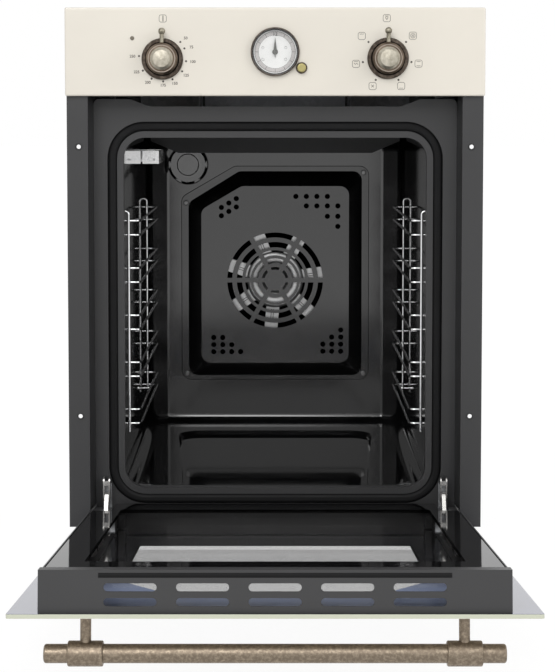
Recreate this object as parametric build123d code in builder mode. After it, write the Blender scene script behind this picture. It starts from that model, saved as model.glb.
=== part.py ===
from build123d import *
from math import cos, hypot, radians, sin
import os

# Built-in electric oven for a 45 cm wide niche, shown with its drop-down door open.
# X points right, Y points back and Z points up. The origin is the centre of the base's underside.
# Sizes are in millimetres and angles in degrees. A depth is a distance behind the cabinet flange's
# front face, and a height is a distance above the base's underside.

# Overall sizes
facade_width = 448.0
facade_height = 595.0
flange_width = 446.0
flange_bottom = 34.4
body_width = 410.0
body_depth = 530.0
body_top_gap = 6.0
body_height = facade_height - body_top_gap
panel_height = 94.0
panel_bottom = facade_height - panel_height
sheet = 1.2
soft_gap = 0.3
running_gap = 0.05
screw_gap = 0.05
flange_y = -body_depth / 2

# Cabinet flange and front frame
recess_half_width = 200.5
frame_half_width = 198.0
frame_setback = 35.0
frame_bottom = 45.0
frame_top_gap = 3.0
frame_top = panel_bottom - frame_top_gap
frame_corner_radius = 6.0
air_slot_drop = 11.0
air_slot_bottom = panel_bottom - air_slot_drop
air_slot_half_width = 137.0
air_slot_slope = 21.0
cabinet_screw_spacing_x = 420.8
cabinet_screw_spacing_z = 291.2
cabinet_screw_height = 301.3
cabinet_screw_radius = 2.3

# Mouth of the oven, its rim and the groove that holds the door gasket
mouth_half_width = 165.5
mouth_bottom = 70.0
mouth_drop = 45.0
mouth_top = panel_bottom - mouth_drop
mouth_radius = 23.0
rim_width = 7.0
groove_width = 10.5
groove_depth = 6.0
gasket_side_gap = 0.5
gasket_proud = 2.3

# Cavity
cavity_half_width = 166.5
cavity_floor = 71.0
ceiling_rise = 14.0
cavity_ceiling = mouth_top + ceiling_rise
cavity_back = 446.0
cavity_edge_radius = 18.0
back_corner_width = 24.0
back_corner_depth = 12.0
back_edge_radius = 9.0
floor_pan_depth = 5.0
floor_pan_front = 81.0
floor_pan_back = 367.0
floor_pan_front_half_width = 100.0
floor_pan_back_half_width = 122.0
floor_pan_corner = 26.0
floor_pan_taper = 35.0

# Fan cover on the cavity's back wall: half width, bottom, top, and the drop and run of its cut corner
cover_proud = 28.0
cover_bottom = cavity_floor + 55.5
cover_top = cavity_ceiling - 59.0
cover_flange = (124.0, cover_bottom, cover_top, 41.0, 70.0)
cover_step_foot = (116.0, cover_bottom + 4.5, cover_top - 5.5, 42.0, 68.0)
cover_face = (97.0, cover_bottom + 26.0, cover_top - 25.0, 31.0, 53.0)
cover_corner_radius = 12.0
fan_drop = 8.5
fan_height = (cavity_floor + cavity_ceiling) / 2 - fan_drop
grille_rings = ((14.0, 17.5), (22.5, 29.0), (32.5, 39.5), (43.5, 50.5), (56.5, 63.0))
grille_sectors = 6
grille_web = 6.0
air_hole_radius = 3.4
cover_screw_places = (
    (117.4, cover_top - 8.0),
    (-118.4, cover_top - 48.4),
    (-117.4, cover_bottom + 7.6),
    (117.4, cover_bottom + 7.6),
)
cover_screw_radius = 2.0
cover_screw_head_radius = 3.6
cover_screw_head_height = 1.8

# Air holes in the fan cover, row by row: first hole's X and its height over the fan's axis, number of
# holes, and their steps
air_hole_rows = (
    (27.2, 110.5, 4, 13.8, 0.0),
    (41.0, 98.0, 4, 13.8, 0.0),
    (68.6, 84.3, 2, 13.8, 0.0),
    (82.4, 71.0, 1, 13.8, 0.0),
    (-70.6, 85.0, 3, 9.8, 5.8),
    (-70.6, 96.0, 3, 9.8, 5.8),
    (-81.0, -76.0, 2, 11.8, 0.0),
    (-81.0, -85.4, 3, 11.8, 0.0),
    (-81.0, -94.8, 4, 11.8, 0.0),
    (86.5, -66.0, 1, 11.8, 0.0),
    (74.7, -75.4, 2, 11.8, 0.0),
    (62.9, -84.8, 3, 11.8, 0.0),
    (62.9, -94.2, 3, 11.8, 0.0),
)

# Convection fan
fan_blades = 7
fan_first_blade = 8.0
fan_radius = 64.0
fan_arm_width = 17.0
fan_disc_radius = 22.0
fan_sheet = 1.0
fan_paddle_height = 13.0
fan_wall_gap = 6.0
fan_shaft_radius = 4.0
fan_motor_radius = 33.0
fan_motor_length = 42.0
motor_bracket_gap = 8.0

# Cavity lamp
lamp_x = -115.2
lamp_drop = 56.4
lamp_height = cavity_ceiling - lamp_drop
lamp_radius = 26.5
lamp_lens_radius = 13.5
lamp_proud = 13.0
lamp_socket_radius = 17.0
lamp_socket_length = 38.0
lamp_glass_wall = 2.0
lamp_grips = 6
lamp_grip_radius = 6.0
lamp_grip_bite = 4.0
lamp_grip_depth = 4.5

# Heating elements and the baffle in front of the lamp
element_radius = 3.25
element_bend = 18.0
grill_drop = 12.0
grill_height = cavity_ceiling - grill_drop
grill_half_width = 122.0
grill_front = 105.0
grill_back = 330.0
grill_leg_x = 34.0
baffle_depth = 402.0
baffle_slope = 8.0
baffle_lap = 28.0
baffle_bottom = grill_height - baffle_lap
baffle_half_width = 126.0
baffle_top_half_width = 140.0
baffle_end_half_width = 162.0
baffle_end_bottom = baffle_bottom + 15.5
baffle_end_top = baffle_end_bottom + 6.0
bottom_element_half_width = 86.0
bottom_element_front = 110.0

# Sensor bracket at the back of the left wall: one bent strip, open towards the wall at its front
bracket_drop = 51.0
bracket_height = 16.0
bracket_bottom = cavity_ceiling - bracket_drop
bracket_front = 304.0
bracket_back = 390.0
bracket_reach = 21.5
bracket_side_gap = 1.2
bracket_foot = 12.0
bracket_hole_reach = 15.5
bracket_hole_rise = 5.3
bracket_hole_radius = 1.7

# Wire side racks
rack_bar_radius = 1.7
rung_radius = 1.4
rack_bar_gap = 4.2
rack_bar_x = cavity_half_width - rack_bar_gap
rack_reach = 16.5
rung_x = cavity_half_width - rack_reach
rack_front = 58.0
rack_rear = 332.0
rack_hook_bend = 3.5
rung_bend = 6.0
rung_first_height = cavity_floor + 66.0
rung_pitch = 52.7
rung_pair_gap = 15.7
rung_levels = 5
rack_tail = 9.0
rack_head = 10.5
weld_depth = 0.4
stud_drop = 3.7
stud_height = rung_first_height - stud_drop
stud_reach = 6.2
stud_radius = 1.4
stud_ball_radius = 2.6

# Door: its plane is tilted from the level by the angle that the door stays short of flat
door_opening = 84.0
door_tilt = 90.0 - door_opening
pivot_depth = 15.0
pivot_height = 38.0
glass_thickness = 4.0
middle_glass_thickness = 3.0
door_outer_face = 21.0
door_inner_face = 17.2
door_glass_drop = 31.0
door_glass_length = 490.5
door_box_half_width = 197.0
door_box_drop = 9.0
door_box_end = 454.0
inner_glass_half_width = 194.5
inner_glass_end = 446.0
hinge_notch_x = 175.0
hinge_notch_length = 52.0
cap_height = 35.6
cap_lip = 14.0
cap_half_width = 198.0
vent_length = 44.3
vent_width = 6.8
vent_spacing = 60.5
vent_rows = (14.6, 26.9)
vent_count = 5
door_flange = 21.0
middle_glass_half_width = 172.0
middle_glass_margin = 32.0
spacer_length = 22.0
spacer_width = 9.0

# Handle
handle_radius = 8.0
handle_half_length = 195.5
handle_along = 430.0
handle_standoff = 34.5
post_x = 160.3
post_radius = 4.75
collar_radius = 10.75
collar_length = 30.0
handle_screw_radius = 2.5
handle_screw_head_radius = 5.0
handle_screw_head_height = 3.0
handle_screw_engagement = 12.0

# Hinges
hinge_x = 185.0
arm_thickness = 4.0
hinge_pin_radius = 2.9
arm_boss_radius = 7.0
arm_elbow_depth = 29.0
arm_elbow_height = 58.0
arm_bar_height = 11.0
arm_reach = 74.0
arm_hook_drop = 7.0
channel_gap = 0.5
channel_length = 170.0
channel_floor = 14.0
channel_low_side = 2.0
channel_high_side = 11.5
lock_sheet = 1.5
lock_gap = 0.3
lock_depth = 27.0
lock_pin_height = 61.6
lock_bridge_height = 77.4
lock_radius = 5.0
lock_length = 17.0
lock_pin_radius = 1.8
housing_height = 24.0
hinge_plate_width = 9.6
hinge_plate_top = 75.0

# Control panel
panel_proud = 6.0
panel_edge_radius = 2.0
panel_hole_gap = 1.0
thermostat_place = (-120.0, panel_bottom + 39.4)
selector_place = (120.0, panel_bottom + 40.0)
clock_place = (0.0, panel_bottom + 47.0)
button_place = (28.1, panel_bottom + 29.9)
pilot_place = (-152.0, panel_bottom + 61.5)
pilot_radius = 2.2
knob_shaft_radius = 3.0
knob_socket = 9.0
rose_radius = 22.0
rose_height = 5.0
knob_radius = 17.0
knob_dome_radius = 12.0
knob_height = 16.0
pointer_reach = 29.0
pointer_radius = 2.2
pointer_ball_radius = 3.7
control_body = (44.0, 30.0, 42.0)
clock_radius = 26.0
clock_bezel_width = 1.8
clock_bezel_height = 5.0
clock_case_length = 32.0
dial_thickness = 1.0
dial_setback = 3.0
hand_thickness = 0.4
hand_gap = 0.4
minute_hand_length = 15.6
hour_hand_length = 11.0
hand_tail_share = 0.47
hand_belly_share = 0.2
hand_half_width = 1.65
minute_arbor_radius = 0.8
hour_pipe_radius = 1.5
button_radius = 4.8
button_travel = 3.0
button_proud = 6.0
button_collar_radius = 6.1

# Cooling air duct and blower above the cavity
duct_gap = 17.6
duct_floor = cavity_ceiling + duct_gap
duct_height = 22.4
shelf_height = duct_floor + duct_height
shelf_back = 235.0
duct_back = 380.0
duct_rib_x = 78.5
blower_depth = 300.0
blower_rise = 52.4
blower_height = duct_floor + blower_rise
blower_radius = 24.0
blower_length = 180.0
blower_blades = 18
blower_blade_angle = 40.0
blower_clearance = 6.0
blower_shaft_radius = 3.0
blower_motor_length = 38.0
blower_motor_radius = 22.0

# Casing details
tray_height = 18.0
casing_lip = 12.0
vent_slot = (36.0, 4.0)
vent_pitch = (54.0, 10.0)
tray_vent_pitch = (100.0, 106.0)
side_vent_place = (424.0, body_height - 118.0)
top_vent_depth = 435.0
gland_x = -150.0
gland_drop = 44.0
gland_height = body_height - gland_drop
gland_bore_radius = 5.0
gland_outer_radius = 8.0
gland_proud = 6.0
insulation_thickness = 16.0

# Sizes that follow from those above
door_sweep_radius = hypot(door_glass_drop, door_outer_face)
tray_front = pivot_depth + door_sweep_radius + 5 * sheet
panel_face_depth = -panel_proud
housing_half_width = arm_thickness / 2 + soft_gap + sheet
housing_bottom = frame_bottom + sheet
housing_top = housing_bottom + housing_height
housing_end = arm_reach + soft_gap + sheet
sides = ((-1, "left"), (1, "right"))

tilt_cos = cos(radians(door_tilt))
tilt_sin = sin(radians(door_tilt))
pivot = Vector(0, flange_y + pivot_depth, pivot_height)
door_along = Vector(0, -tilt_cos, tilt_sin)
door_inward = Vector(0, tilt_sin, tilt_cos)
door_plane = Plane(origin=pivot, x_dir=(-1, 0, 0), z_dir=door_inward)


def upright(depth):
    """A vertical plane seen from the front: local x is X, local y is the height, and it grows forwards."""
    return Plane(origin=(0, flange_y + depth, 0), x_dir=(1, 0, 0), z_dir=(0, -1, 0))


def level(height):
    """A level plane: local x is X, local y is the depth behind the flange, and it grows upwards."""
    return Plane(origin=(0, flange_y, height), x_dir=(1, 0, 0), z_dir=(0, 0, 1))


def lengthwise(x):
    """A plane across the oven's width: local x is the depth, local y the height, and it grows to +X."""
    return Plane(origin=(x, flange_y, 0), x_dir=(0, 1, 0), z_dir=(1, 0, 0))


def turned(place, depth):
    """A plane through a control's axis: local x is the radius and local y points out of the front."""
    return Plane(origin=(place[0], flange_y + depth, place[1]), x_dir=(1, 0, 0), z_dir=(0, 0, -1))


def outward_axis(place):
    """The axis of a control at this X and height, pointing out of the front."""
    return Axis((place[0], flange_y, place[1]), (0, -1, 0))


def door_section(x):
    """A plane across the door: local x runs to the free edge, local y to the inside, growing to -X."""
    return Plane(origin=pivot + Vector(x, 0, 0), x_dir=door_along, z_dir=(-1, 0, 0))


def door_end(along):
    """A plane square to the door: local x is X, local y runs to the inside, growing to the free edge."""
    return Plane(origin=pivot + door_along * along, x_dir=(1, 0, 0), z_dir=door_along)


def rounded_frame(half_width, bottom, top, radius, mode=Mode.ADD):
    """A rounded rectangle on the oven's centre line, between two heights."""
    with Locations((0, (bottom + top) / 2)):
        RectangleRounded(2 * half_width, top - bottom, radius, mode=mode)


def mouth_outline(margin, mode=Mode.ADD):
    """The oven's mouth, grown by a margin all round."""
    rounded_frame(
        mouth_half_width + margin, mouth_bottom - margin, mouth_top + margin, mouth_radius + margin, mode
    )


os.makedirs("parts", exist_ok=True)

# Base tray with cooling slots, and a front wall that the front frame stands on
tray_back = body_depth - sheet
tray_half_width = body_width / 2 - sheet
with BuildPart() as base_tray:
    with BuildSketch(level(0)):
        with Locations((0, (tray_front + tray_back) / 2)):
            Rectangle(2 * tray_half_width, tray_back - tray_front)
    extrude(amount=tray_height)
    offset(amount=-sheet, openings=base_tray.faces().sort_by(Axis.Z)[-1])
    with BuildSketch(lengthwise(-frame_half_width)):
        with Locations((tray_front + sheet / 2, frame_bottom / 2)):
            Rectangle(sheet, frame_bottom)
    extrude(amount=2 * frame_half_width)
    with BuildSketch(level(0)):
        with Locations((0, (tray_front + tray_back) / 2)):
            with GridLocations(*tray_vent_pitch, 3, 3):
                SlotOverall(*vent_slot)
    extrude(amount=sheet, mode=Mode.SUBTRACT)
base_tray.part.label = "base_tray"
export_step(base_tray.part, "parts/base_tray.step")

# Side casings, cut away at the bottom front where the open door's glass swings
with BuildPart() as side_casings:
    for side, side_name in sides:
        with BuildSketch(lengthwise(side * body_width / 2)):
            with BuildLine():
                Polyline(
                    (sheet, flange_bottom),
                    (sheet, body_height - sheet),
                    (tray_back, body_height - sheet),
                    (tray_back, 0),
                    (tray_front, 0),
                    (tray_front, flange_bottom),
                    close=True,
                )
            make_face()
            with Locations(side_vent_place):
                with GridLocations(*vent_pitch, 2, 5):
                    SlotOverall(*vent_slot, mode=Mode.SUBTRACT)
        extrude(amount=-side * sheet)
        with BuildSketch(level(tray_height)):
            with Locations((side * (tray_half_width - casing_lip / 2), tray_back - sheet / 2)):
                Rectangle(casing_lip, sheet)
        extrude(amount=body_height - tray_height - casing_lip - sheet)
side_casings.part.label = "side_casings"
export_step(side_casings.part, "parts/side_casings.step")

# Top casing with lips turned down inside the side casings
with BuildPart() as top_casing:
    with BuildSketch(level(body_height - sheet)):
        with Locations((0, (sheet + tray_back) / 2)):
            Rectangle(body_width, tray_back - sheet)
        with Locations((0, top_vent_depth)):
            with GridLocations(tray_vent_pitch[0], vent_pitch[1], 3, 4):
                SlotOverall(*vent_slot, mode=Mode.SUBTRACT)
    extrude(amount=sheet)
    with BuildSketch(level(body_height - casing_lip)):
        with Locations((0, (sheet + tray_back) / 2)):
            with GridLocations(2 * tray_half_width - sheet, 1, 2, 1):
                Rectangle(sheet, tray_back - 2 * casing_lip)
    extrude(amount=casing_lip - sheet)
top_casing.part.label = "top_casing"
export_step(top_casing.part, "parts/top_casing.step")

# Rear casing with air slots and the hole for the cable gland
with BuildPart() as rear_casing:
    with BuildSketch(upright(body_depth)):
        rounded_frame(body_width / 2, 0, body_height, 2 * sheet)
        with Locations((0, fan_height), (0, blower_height)):
            with GridLocations(*vent_pitch, 4, 5):
                SlotOverall(*vent_slot, mode=Mode.SUBTRACT)
        with Locations((gland_x, gland_height)):
            Circle(gland_outer_radius, mode=Mode.SUBTRACT)
    extrude(amount=sheet)
rear_casing.part.label = "rear_casing"
export_step(rear_casing.part, "parts/rear_casing.step")

# Cable gland: a flanged bush with a round bore
with BuildPart() as cable_gland:
    with BuildSketch(upright(body_depth + gland_proud)):
        with Locations((gland_x, gland_height)):
            Circle(gland_outer_radius)
    extrude(amount=3 * gland_proud)
    with BuildSketch(upright(body_depth + gland_proud)):
        with Locations((gland_x, gland_height)):
            RegularPolygon(gland_outer_radius + 4 * sheet, 6)
    extrude(amount=gland_proud)
    with BuildSketch(upright(body_depth + gland_proud)):
        with Locations((gland_x, gland_height)):
            Circle(gland_bore_radius)
    extrude(amount=3 * gland_proud, mode=Mode.SUBTRACT)
cable_gland.part.label = "cable_gland"
export_step(cable_gland.part, "parts/cable_gland.step")

# Cabinet flanges: a strip against the cabinet and a wall that runs back to the front frame
with BuildPart() as cabinet_flanges:
    for side, side_name in sides:
        with BuildSketch(level(flange_bottom)):
            with BuildLine():
                Polyline(
                    (side * flange_width / 2, 0),
                    (side * recess_half_width, 0),
                    (side * frame_half_width, frame_setback + sheet),
                    (side * (frame_half_width + sheet), frame_setback + sheet),
                    (side * (recess_half_width + sheet), sheet),
                    (side * flange_width / 2, sheet),
                    close=True,
                )
            make_face()
        extrude(amount=body_height - sheet - flange_bottom)
        with BuildSketch(upright(sheet)):
            with Locations((side * cabinet_screw_spacing_x / 2, cabinet_screw_height)):
                with GridLocations(1, cabinet_screw_spacing_z, 1, 2):
                    Circle(cabinet_screw_radius)
        extrude(amount=sheet, mode=Mode.SUBTRACT)
cabinet_flanges.part.label = "cabinet_flanges"
export_step(cabinet_flanges.part, "parts/cabinet_flanges.step")

# Front frame: a pressed sheet with the gasket groove, the rim and a collar round the mouth
with BuildPart() as front_frame:
    with BuildSketch(upright(frame_setback + sheet)) as frame_outline:
        with BuildLine():
            Polyline(
                (-frame_half_width, frame_bottom),
                (-frame_half_width, frame_top),
                (-air_slot_half_width - air_slot_slope, frame_top),
                (-air_slot_half_width, air_slot_bottom),
                (air_slot_half_width, air_slot_bottom),
                (air_slot_half_width + air_slot_slope, frame_top),
                (frame_half_width, frame_top),
                (frame_half_width, frame_bottom),
                close=True,
            )
        make_face()
        fillet(frame_outline.vertices().sort_by(Axis.Y)[-4:], radius=frame_corner_radius)
        mouth_outline(rim_width + groove_width, mode=Mode.SUBTRACT)
    extrude(amount=sheet)
    with BuildSketch(upright(frame_setback + groove_depth + sheet)):
        mouth_outline(rim_width + groove_width + sheet)
        mouth_outline(rim_width - sheet, mode=Mode.SUBTRACT)
    extrude(amount=groove_depth + sheet)
    with BuildSketch(upright(frame_setback + groove_depth)):
        mouth_outline(rim_width + groove_width)
        mouth_outline(rim_width, mode=Mode.SUBTRACT)
    extrude(amount=groove_depth, mode=Mode.SUBTRACT)
    with BuildSketch(upright(frame_setback + sheet)):
        mouth_outline(rim_width - sheet)
        mouth_outline(0, mode=Mode.SUBTRACT)
    extrude(amount=sheet)
    with BuildSketch(upright(frame_setback + groove_depth + sheet)):
        mouth_outline(sheet)
        mouth_outline(0, mode=Mode.SUBTRACT)
    extrude(amount=groove_depth + sheet)
    with BuildSketch(lengthwise(-frame_half_width)):
        with Locations(((frame_setback + tray_front + sheet) / 2, frame_bottom + sheet / 2)):
            Rectangle(tray_front + sheet - frame_setback, sheet)
    extrude(amount=2 * frame_half_width)
    with BuildSketch(upright(frame_setback + sheet)):
        with Locations((0, (housing_bottom + housing_top + soft_gap) / 2)):
            with GridLocations(2 * hinge_x, 1, 2, 1):
                Rectangle(2 * housing_half_width + 2 * soft_gap, housing_height + soft_gap)
    extrude(amount=sheet, mode=Mode.SUBTRACT)
front_frame.part.label = "front_frame"
export_step(front_frame.part, "parts/front_frame.step")

# Door gasket, a rounded strip in the groove that stands a little proud of the frame
with BuildPart() as door_gasket:
    with BuildSketch(upright(frame_setback + groove_depth)):
        mouth_outline(rim_width + groove_width - gasket_side_gap)
        mouth_outline(rim_width + gasket_side_gap, mode=Mode.SUBTRACT)
    extrude(amount=groove_depth + gasket_proud)
    fillet(
        door_gasket.faces().sort_by(Axis.Y)[0].edges(),
        radius=(groove_width - 2 * gasket_side_gap) / 2 - sheet,
    )
door_gasket.part.label = "door_gasket"
export_step(door_gasket.part, "parts/door_gasket.step")

# Cavity: one enamelled shell with rounded edges, a pressed floor pan and holes in its back wall
cavity_front = frame_setback + groove_depth + sheet
cavity_height = cavity_ceiling - cavity_floor
with BuildPart() as cavity:
    with BuildSketch(level(cavity_floor)):
        with BuildLine():
            Polyline(
                (-cavity_half_width, cavity_front),
                (-cavity_half_width, cavity_back - back_corner_depth),
                (back_corner_width - cavity_half_width, cavity_back),
                (cavity_half_width - back_corner_width, cavity_back),
                (cavity_half_width, cavity_back - back_corner_depth),
                (cavity_half_width, cavity_front),
                close=True,
            )
        make_face()
    extrude(amount=cavity_height)
    fillet(cavity.edges().filter_by(Axis.Y), radius=cavity_edge_radius)
    corner_start_y = flange_y + cavity_back - back_corner_depth
    back_edges = cavity.edges().filter_by(lambda edge: edge.center().Y > corner_start_y)
    fillet(back_edges, radius=back_edge_radius)
    with BuildSketch(level(cavity_floor - floor_pan_depth)) as pan_outline:
        with BuildLine():
            Polyline(
                (-floor_pan_front_half_width, floor_pan_front),
                (floor_pan_front_half_width, floor_pan_front),
                (floor_pan_back_half_width, floor_pan_back),
                (-floor_pan_back_half_width, floor_pan_back),
                close=True,
            )
        make_face()
        fillet(pan_outline.vertices(), radius=floor_pan_corner)
    extrude(amount=floor_pan_depth, taper=-floor_pan_taper)
    offset(amount=sheet, openings=cavity.faces().sort_by(Axis.Y)[0])
    with BuildSketch(upright(cavity_back + 2 * sheet)):
        with Locations((0, fan_height)):
            Circle(fan_shaft_radius + soft_gap)
        with Locations((lamp_x, lamp_height)):
            Circle(lamp_socket_radius + soft_gap)
        with Locations((-grill_leg_x, grill_height), (grill_leg_x, grill_height)):
            Circle(element_radius + soft_gap)
        with Locations(*cover_screw_places):
            Circle(cover_screw_radius + screw_gap)
    extrude(amount=cavity_edge_radius, mode=Mode.SUBTRACT)
cavity.part.label = "cavity"
export_step(cavity.part, "parts/cavity.step")

# Fan cover: a pressed cover with a cut corner, a slotted grille and air holes near its corners


def cover_outline(size, radius, margin=0.0, mode=Mode.ADD):
    """The cover's outline, a rectangle whose top left corner is cut off, drawn smaller by a margin."""
    half_width, bottom, top, drop, run = size
    with BuildSketch(mode=Mode.PRIVATE) as outline:
        with BuildLine():
            Polyline(
                (-half_width, bottom),
                (half_width, bottom),
                (half_width, top),
                (run - half_width, top),
                (-half_width, top - drop),
                close=True,
            )
        make_face()
        fillet(outline.vertices(), radius=radius)
        if margin:
            offset(amount=-margin)
    add(outline.sketch, mode=mode)


cover_face_depth = cavity_back - cover_proud
with BuildPart() as fan_cover:
    with BuildSketch(upright(cavity_back)):
        cover_outline(cover_step_foot, cover_corner_radius)
    with BuildSketch(upright(cover_face_depth)):
        cover_outline(cover_face, cover_corner_radius)
    loft()
    with BuildSketch(upright(cavity_back)):
        cover_outline(cover_step_foot, cover_corner_radius, sheet)
    with BuildSketch(upright(cover_face_depth + sheet)):
        cover_outline(cover_face, cover_corner_radius, sheet)
    loft(mode=Mode.SUBTRACT)
    with BuildSketch(upright(cavity_back)):
        cover_outline(cover_flange, cover_corner_radius)
        cover_outline(cover_step_foot, cover_corner_radius, sheet, mode=Mode.SUBTRACT)
        with Locations(*cover_screw_places):
            Circle(cover_screw_radius + screw_gap, mode=Mode.SUBTRACT)
    extrude(amount=sheet)
    with BuildSketch(upright(cover_face_depth + sheet)):
        with Locations((0, fan_height)):
            for ring_inner, ring_outer in grille_rings:
                with BuildSketch(mode=Mode.PRIVATE) as ring:
                    Circle(ring_outer)
                    Circle(ring_inner, mode=Mode.SUBTRACT)
                    with PolarLocations(ring_outer / 2, grille_sectors):
                        Rectangle(ring_outer, grille_web, mode=Mode.SUBTRACT)
                add(ring.sketch)
        for hole_x, hole_rise, hole_count, pitch_x, pitch_z in air_hole_rows:
            for hole in range(hole_count):
                with Locations((hole_x + hole * pitch_x, fan_height + hole_rise + hole * pitch_z)):
                    Circle(air_hole_radius)
    extrude(amount=sheet, mode=Mode.SUBTRACT)
fan_cover.part.label = "fan_cover"
export_step(fan_cover.part, "parts/fan_cover.step")

# Fan cover screws with low rounded heads
with BuildPart() as fan_cover_screws:
    for screw_plane, screw_radius, screw_length in (
        (upright(cavity_back + 2 * sheet), cover_screw_radius, 3 * sheet),
        (upright(cavity_back - sheet), cover_screw_head_radius, cover_screw_head_height),
    ):
        with BuildSketch(screw_plane):
            with Locations(*cover_screw_places):
                Circle(screw_radius)
        extrude(amount=screw_length)
    head_faces = fan_cover_screws.faces().group_by(Axis.Y)[0]
    fillet(head_faces.edges(), radius=0.7 * cover_screw_head_height)
fan_cover_screws.part.label = "fan_cover_screws"
export_step(fan_cover_screws.part, "parts/fan_cover_screws.step")

# Convection fan: a pressed star whose arms carry paddles bent towards the back, with its hub and shaft
fan_axis = (0.0, fan_height)
fan_back = cavity_back - fan_wall_gap
fan_front = fan_back - fan_paddle_height
motor_front = cavity_back + sheet + motor_bracket_gap
with BuildPart() as fan_wheel:
    with BuildSketch(upright(fan_front + fan_sheet)):
        with Locations(fan_axis):
            Circle(fan_disc_radius)
            with PolarLocations(fan_radius / 2, fan_blades, start_angle=fan_first_blade):
                Rectangle(fan_radius, fan_arm_width)
    extrude(amount=fan_sheet)
    with BuildSketch(upright(fan_back)):
        with Locations(fan_axis):
            with PolarLocations(0, fan_blades, start_angle=fan_first_blade):
                with Locations(((fan_radius + fan_disc_radius) / 2, (fan_sheet - fan_arm_width) / 2)):
                    Rectangle(fan_radius - fan_disc_radius, fan_sheet)
    extrude(amount=fan_paddle_height)
    with BuildSketch(turned(fan_axis, fan_front + fan_sheet)):
        with BuildLine():
            Polyline(
                (0, 0),
                (2 * fan_shaft_radius, 0),
                (2 * fan_shaft_radius, -fan_wall_gap),
                (fan_shaft_radius, -fan_wall_gap),
                (fan_shaft_radius, fan_front - motor_front - fan_motor_length / 2),
                (0, fan_front - motor_front - fan_motor_length / 2),
                close=True,
            )
        make_face()
    revolve(axis=outward_axis(fan_axis))
fan_wheel.part.label = "fan_wheel"
export_step(fan_wheel.part, "parts/fan_wheel.step")

# Fan motor on three feet against the cavity's back wall
with BuildPart() as fan_motor:
    with BuildSketch(upright(motor_front + fan_motor_length)):
        with Locations(fan_axis):
            Circle(fan_motor_radius)
    extrude(amount=fan_motor_length)
    fillet(fan_motor.edges().sort_by(Axis.Y)[0], radius=2 * sheet)
    with BuildSketch(upright(motor_front)):
        with Locations(fan_axis):
            with PolarLocations(fan_motor_radius - 2 * sheet, 3, start_angle=90):
                Circle(2 * sheet)
    extrude(amount=motor_bracket_gap)
    with BuildSketch(upright(motor_front + 0.6 * fan_motor_length)):
        with Locations(fan_axis):
            Circle(fan_shaft_radius + running_gap)
    extrude(amount=0.6 * fan_motor_length, mode=Mode.SUBTRACT)
fan_motor.part.label = "fan_motor"
export_step(fan_motor.part, "parts/fan_motor.step")

# Cavity lamp: a socket through the back wall, a bulb and a screwed glass with grip lobes
lamp_place = (lamp_x, lamp_height)
with BuildPart() as lamp_socket:
    with BuildSketch(turned(lamp_place, cavity_back)):
        with BuildLine():
            Polyline(
                (lamp_socket_radius - 2 * sheet, 0),
                (lamp_socket_radius, 0),
                (lamp_socket_radius, -sheet),
                (lamp_socket_radius, -lamp_socket_length),
                (0, -lamp_socket_length),
                (0, -lamp_socket_length + 3 * sheet),
                (lamp_socket_radius - 2 * sheet, -lamp_socket_length + 3 * sheet),
                close=True,
            )
        make_face()
    revolve(axis=outward_axis(lamp_place))
    with BuildSketch(upright(cavity_back + 3 * sheet)):
        with Locations(lamp_place):
            Circle(lamp_radius)
            Circle(lamp_socket_radius, mode=Mode.SUBTRACT)
    extrude(amount=2 * sheet)
lamp_socket.part.label = "lamp_socket"
export_step(lamp_socket.part, "parts/lamp_socket.step")

bulb_radius = lamp_socket_radius - 5 * sheet
bulb_foot = cavity_back + lamp_socket_length - 3 * sheet
with BuildPart() as lamp_bulb:
    with BuildSketch(upright(bulb_foot)):
        with Locations(lamp_place):
            Circle(bulb_radius - 2 * sheet)
    extrude(amount=bulb_radius)
    with BuildSketch(upright(bulb_foot - bulb_radius)):
        with Locations(lamp_place):
            Circle(bulb_radius)
    extrude(amount=bulb_foot - bulb_radius - cavity_back)
    bulb_end = lamp_bulb.faces().sort_by(Axis.Y)[0]
    fillet(bulb_end.edges(), radius=0.8 * bulb_radius)
lamp_bulb.part.label = "lamp_bulb"
export_step(lamp_bulb.part, "parts/lamp_bulb.step")

with BuildPart() as lamp_glass:
    with BuildSketch(turned(lamp_place, cavity_back)):
        with BuildLine():
            Polyline(
                (lamp_socket_radius + soft_gap, 0),
                (lamp_radius, 0),
                (lamp_radius, lamp_proud - 5 * sheet),
                (lamp_radius - 3 * sheet, lamp_proud - sheet),
                (lamp_lens_radius + sheet, lamp_proud - sheet),
                (lamp_lens_radius, lamp_proud),
                (0, lamp_proud),
                (0, lamp_proud - lamp_glass_wall),
                (lamp_socket_radius + soft_gap, lamp_proud - sheet - lamp_glass_wall),
                close=True,
            )
        make_face()
    revolve(axis=outward_axis(lamp_place))
    with BuildSketch(upright(cavity_back - lamp_proud + lamp_grip_depth)):
        with Locations(lamp_place):
            with PolarLocations(lamp_radius + lamp_grip_radius - lamp_grip_bite, lamp_grips):
                Circle(lamp_grip_radius)
    extrude(amount=lamp_grip_depth, mode=Mode.SUBTRACT)
lamp_glass.part.label = "lamp_glass"
export_step(lamp_glass.part, "parts/lamp_glass.step")

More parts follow.
